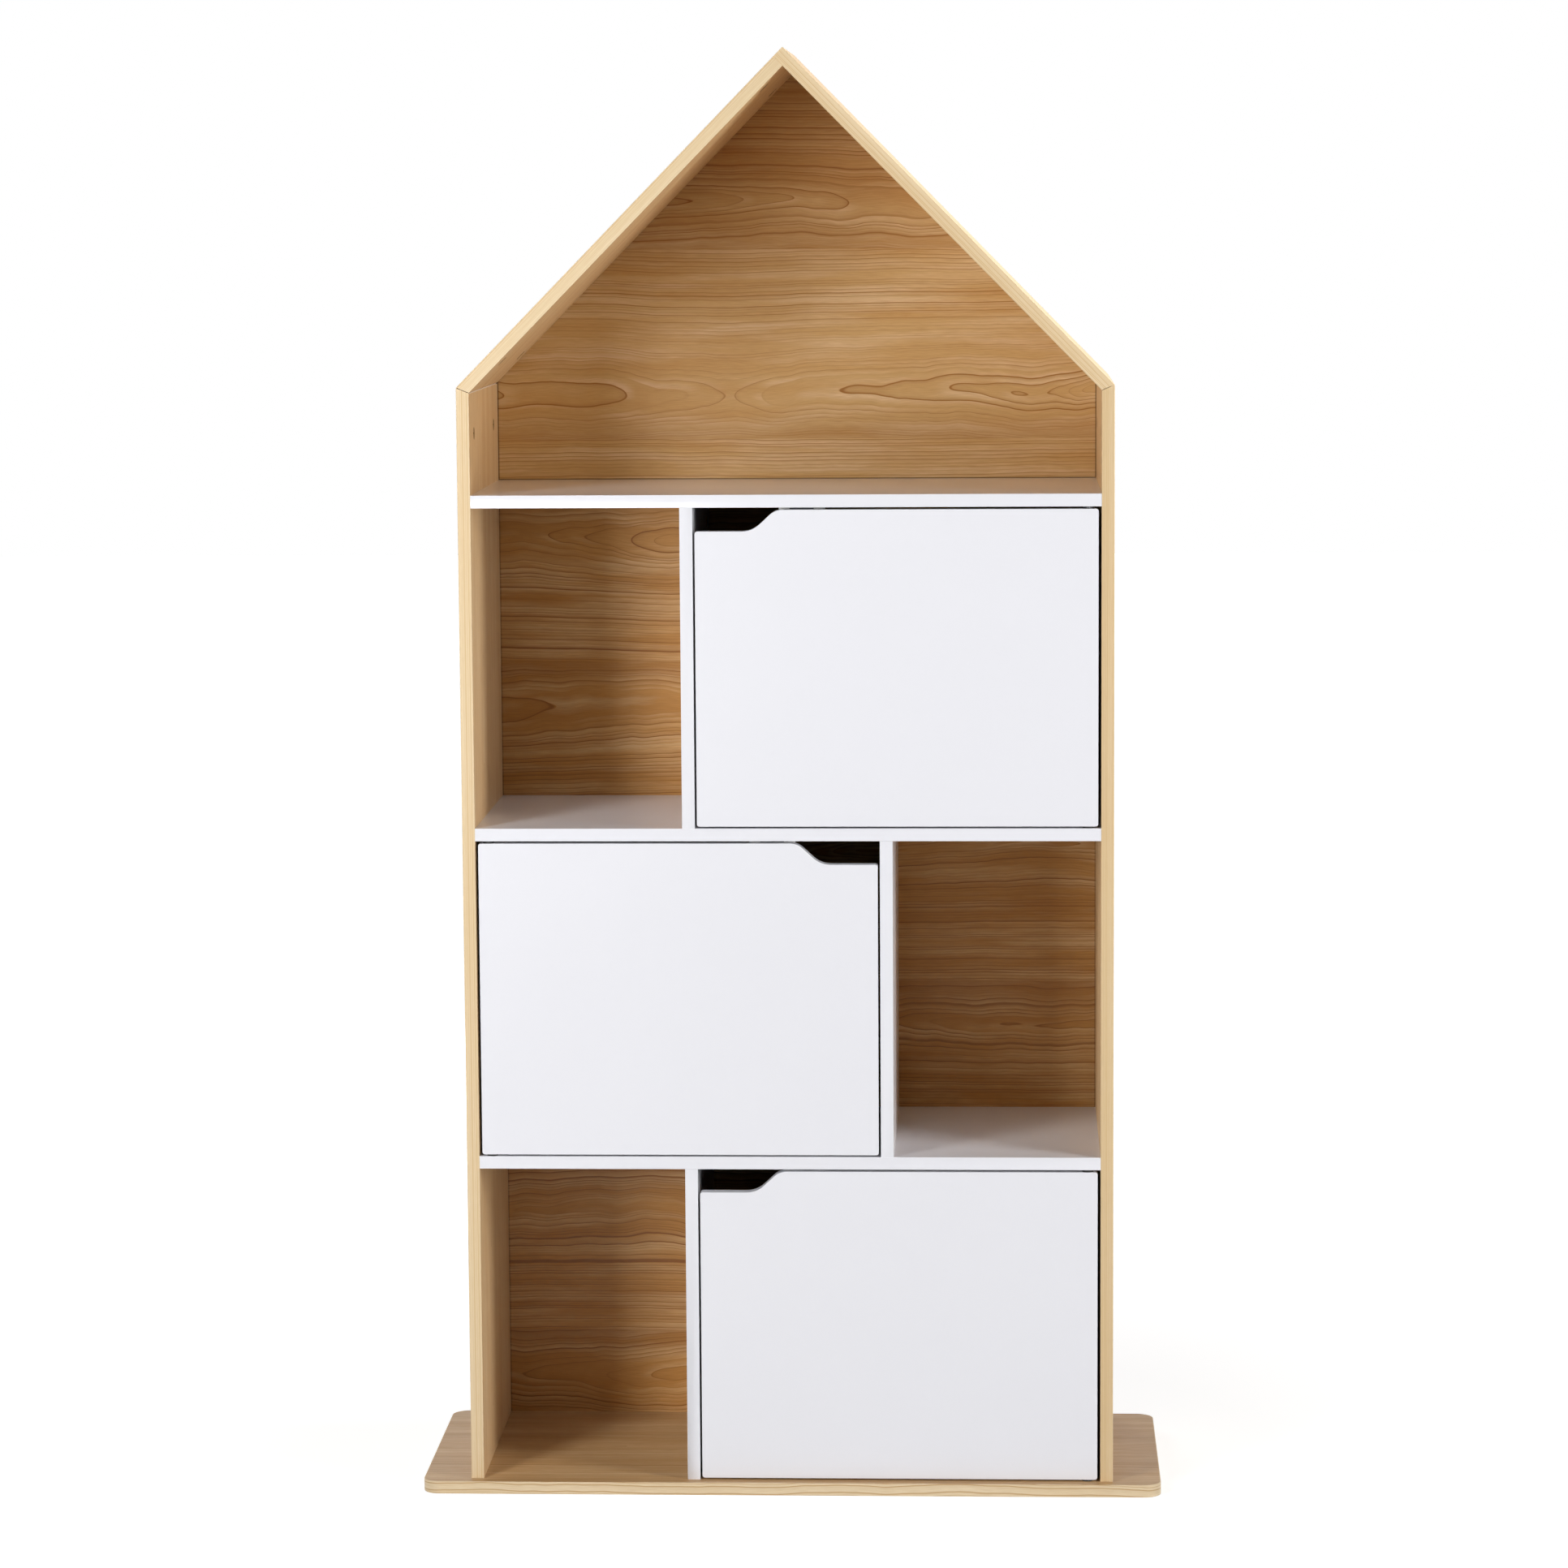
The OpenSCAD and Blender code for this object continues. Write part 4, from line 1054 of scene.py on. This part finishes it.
# %% Drive the screws
small = {
    "Shank Radius": 1.75 * MM,
    "Length": 12 * MM,
    "Cross Width": 0.8 * MM,
    "Turn": math.radians(40),
    "Finish": cast_zinc,
}
pan = dict(small, **{
    "Face Radius": 2.4 * MM, "Neck Radius": 3.2 * MM, "Head Height": 2 * MM,
    "Length": 14 * MM, "Cross Length": 3.2 * MM, "Cross Depth": 1.2 * MM, "Seed": 21,
})
flush = dict(small, **{
    "Face Radius": 2.7 * MM, "Neck Radius": 1.75 * MM, "Head Height": 1.2 * MM,
    "Cross Length": 2.8 * MM, "Cross Depth": 0.8 * MM,
})
thick = {
    "Face Radius": 5 * MM, "Neck Radius": 3.5 * MM, "Head Height": 3 * MM, "Shank Radius": 2.5 * MM,
    "Length": 50 * MM, "Cross Length": 5.4 * MM, "Cross Width": 1.2 * MM, "Cross Depth": 2 * MM,
    "Turn": math.radians(40), "Seed": 31, "Finish": zinc_steel,
}
down, rearward = Vector((0, 0, -1)), Vector((0, 1, 0))
along_x = Vector((1, 0, 0))
catch_xs = [side * 18.5 * MM for side in door_sides]
ear_reach, catch_y, catch_drop = 21.25 * MM, -128.8 * MM, 6 * MM
strike_y, strike_rise = -136.8 * MM, 367 * MM
catch_marks = [
    (Vector((x + ear * ear_reach, catch_y, ceiling - catch_drop)), down, along_x)
    for x, ceiling in zip(catch_xs, row_ceilings)
    for ear in (-1, 1)
]
screw_mesh = mark_mesh("catch screws", catch_marks)
set_out("catch_screws_crossed", screw_mesh, driving, pan, "catch_screws")
for seed_value, (name, x, floor_z) in enumerate(zip(row_names, catch_xs, row_floors)):
    mark = [(Vector((x, strike_y, floor_z + strike_rise)), rearward, along_x)]
    screw_mesh = mark_mesh(f"{name} strike screw", mark)
    values = dict(flush, Seed=seed_value)
    screw_name = f"{name}_strike_screw"
    set_out(f"{screw_name}_crossed", screw_mesh, driving, values, screw_name)
base_xs = (-side_mid_x, side_mid_x, divider_xs[0])
base_marks = [(Vector((x, y, 0)), down, along_x) for x in base_xs for y in fitting_ys]
screw_mesh = mark_mesh("base screws", base_marks)
set_out("base_screws_crossed", screw_mesh, driving, thick, "base_screws")
print("screws:", len(catch_marks), "at the catches,", len(base_marks), "in the base")

# %% [markdown]
# ## Floor and light
#
# The bookcase stands on a pale floor in front of a white nothing. The floor keeps the
# soft contact shadow, while a little extra light that only the camera sees brings it up
# to white. The world does the same: it looks white, but lights the bookcase only gently.
# Glossy faces mirror the white too, though less of it from the side of the camera, where
# a studio is dark. Otherwise a grey veil would lie over the shaded wood.
#
# Two soft lamps from the left draw the shadows of the roof and the walls on the backs. The
# upper one is the smaller, so its shadows are the sharper. A large lamp from the right
# fills in, and a weak one above lifts the base and the door tops. One behind the bookcase
# lights its rear and its left side. The last has a narrow beam, as through a grid, and
# makes the right roof's outer face so bright that its sliver melts into the white.

# %% Floor and world
def seen_level(tree, mirrored):
    """How bright the surroundings look: full to the camera, mirrored in gloss and glass."""
    path = add(tree, "ShaderNodeLightPath")
    gloss = (path.outputs["Is Glossy Ray"], path.outputs["Is Transmission Ray"])
    gloss = add(tree, MATH, gloss, "MAXIMUM")
    gloss = add(tree, MATH, (gloss, mirrored), "MULTIPLY")
    return add(tree, MATH, (path.outputs["Is Camera Ray"], gloss), "MAXIMUM")


floor_mesh = bpy.data.meshes.new("floor")
half = 15.0
corners = [(-half, -half, 0), (half, -half, 0), (half, half, 0), (-half, half, 0)]
floor_mesh.from_pydata(corners, [], [(0, 1, 2, 3)])
floor = bpy.data.objects.new("floor", floor_mesh)
bpy.context.scene.collection.objects.link(floor)

floor_paint = bpy.data.materials.new("pale floor")
floor_paint.use_nodes = True
tree = floor_paint.node_tree
spot = add(tree, "ShaderNodeTexCoord").outputs["Object"]
ahead = add(tree, "ShaderNodeSeparateXYZ", (spot,)).outputs["Y"]
mirrored = {"Value": ahead, "From Min": -3.0, "From Max": -1.0, "To Min": 0.1}
seen = seen_level(tree, add(tree, RANGE, mirrored))
far = add(tree, "ShaderNodeVectorMath", (spot,), "LENGTH").outputs["Value"]
lift = {"From Min": 0.6, "From Max": 2.0, "To Min": 0.72, "To Max": 1.0}
lift = add(tree, RANGE, {"Value": far, **lift})
glow = add(tree, MATH, (seen, lift), "MULTIPLY")
glow = {"Emission Color": (1, 1, 1, 1), "Emission Strength": glow}
shader = tree.nodes["Principled BSDF"]
feed(shader, {"Base Color": paint("c4c4c4"), "Roughness": 0.9, **glow})
floor_mesh.materials.append(floor_paint)

world = bpy.data.worlds.new("white surroundings")
bpy.context.scene.world = world
world.use_nodes = True
tree = world.node_tree
way = add(tree, "ShaderNodeTexCoord").outputs["Generated"]
ahead = add(tree, "ShaderNodeSeparateXYZ", (way,)).outputs["Y"]
mirrored = {"Value": ahead, "From Min": -0.5, "From Max": 0.3, "To Min": 0.1}
seen = seen_level(tree, add(tree, RANGE, mirrored))
ambient = 0.02
level = add(tree, RANGE, {"Value": seen, "To Min": ambient, "To Max": 1.0})
feed(tree.nodes["Background"], {"Color": (1, 1, 1, 1), "Strength": level})
print("ambient light:", ambient)


# %% Lamps
def soft_lamp(name, place, aim, width, height, watts, spread=180):
    light = bpy.data.lights.new(name, "AREA")
    light.shape = "RECTANGLE"
    light.size, light.size_y = width, height
    light.energy = watts
    light.spread = math.radians(spread)
    lamp = bpy.data.objects.new(name, light)
    turn = (Vector(aim) - Vector(place)).to_track_quat("-Z", "Y").to_matrix()
    lamp.matrix_world = Matrix.Translation(place) @ turn.to_4x4()
    bpy.context.scene.collection.objects.link(lamp)
    return lamp


soft_lamp("key lamp", (-1.65, -2.55, 0.8), (0, 0, 0.7), 0.6, 1.4, 37)
soft_lamp("upper key lamp", (-1.2, -1.5, 1.75), (0.1, 0, 1.0), 0.4, 0.7, 13.5)
soft_lamp("side lamp", (2.4, -1.4, 1.25), (-0.2, 0, 1.0), 0.8, 1.8, 52)
soft_lamp("top lamp", (0, -1.0, 2.6), (0, 0.1, 0.6), 1.2, 0.6, 1.5)
rear = soft_lamp("rear lamp", (-1.1, 3.0, 0.85), (0, 0, 0.9), 1.2, 1.0, 55)
rear.visible_glossy = False
soft_lamp("roof lamp", (1.6, 0.1, 2.2), (0.19, 0, 1.5), 0.5, 0.5, 3.8, spread=60)

# %% [markdown]
# ## Camera
#
# The photograph was taken with a long lens from the right of the middle and a little
# above the upper door. Its place and angles come from matching the known corners of the
# boards with where they fall in the picture.

# %% Camera
photo_px, focal_px, sensor_mm = 1932, 5881.84, 36.0
camera_at = (0.24820, -5.67333, 1.52189)
pitch, yaw, roll = 0.12144, 0.04553, -0.00645
flat = math.cos(pitch)
forward = Vector((-math.sin(yaw) * flat, math.cos(yaw) * flat, -math.sin(pitch)))
level_right = Vector((math.cos(yaw), math.sin(yaw), 0))
level_up = level_right.cross(forward)
cam_right = math.cos(roll) * level_right + math.sin(roll) * level_up
cam_up = -math.sin(roll) * level_right + math.cos(roll) * level_up
lens = bpy.data.cameras.new("camera")
lens.sensor_width = sensor_mm
lens.lens = sensor_mm * focal_px / photo_px
camera = bpy.data.objects.new("camera", lens)
turn = Matrix((cam_right, cam_up, -forward)).transposed()
camera.matrix_world = Matrix.Translation(camera_at) @ turn.to_4x4()
bpy.context.scene.collection.objects.link(camera)
bpy.context.scene.camera = camera
bpy.context.scene.view_settings.view_transform = "Standard"
print("lens:", round(lens.lens, 2), "mm")
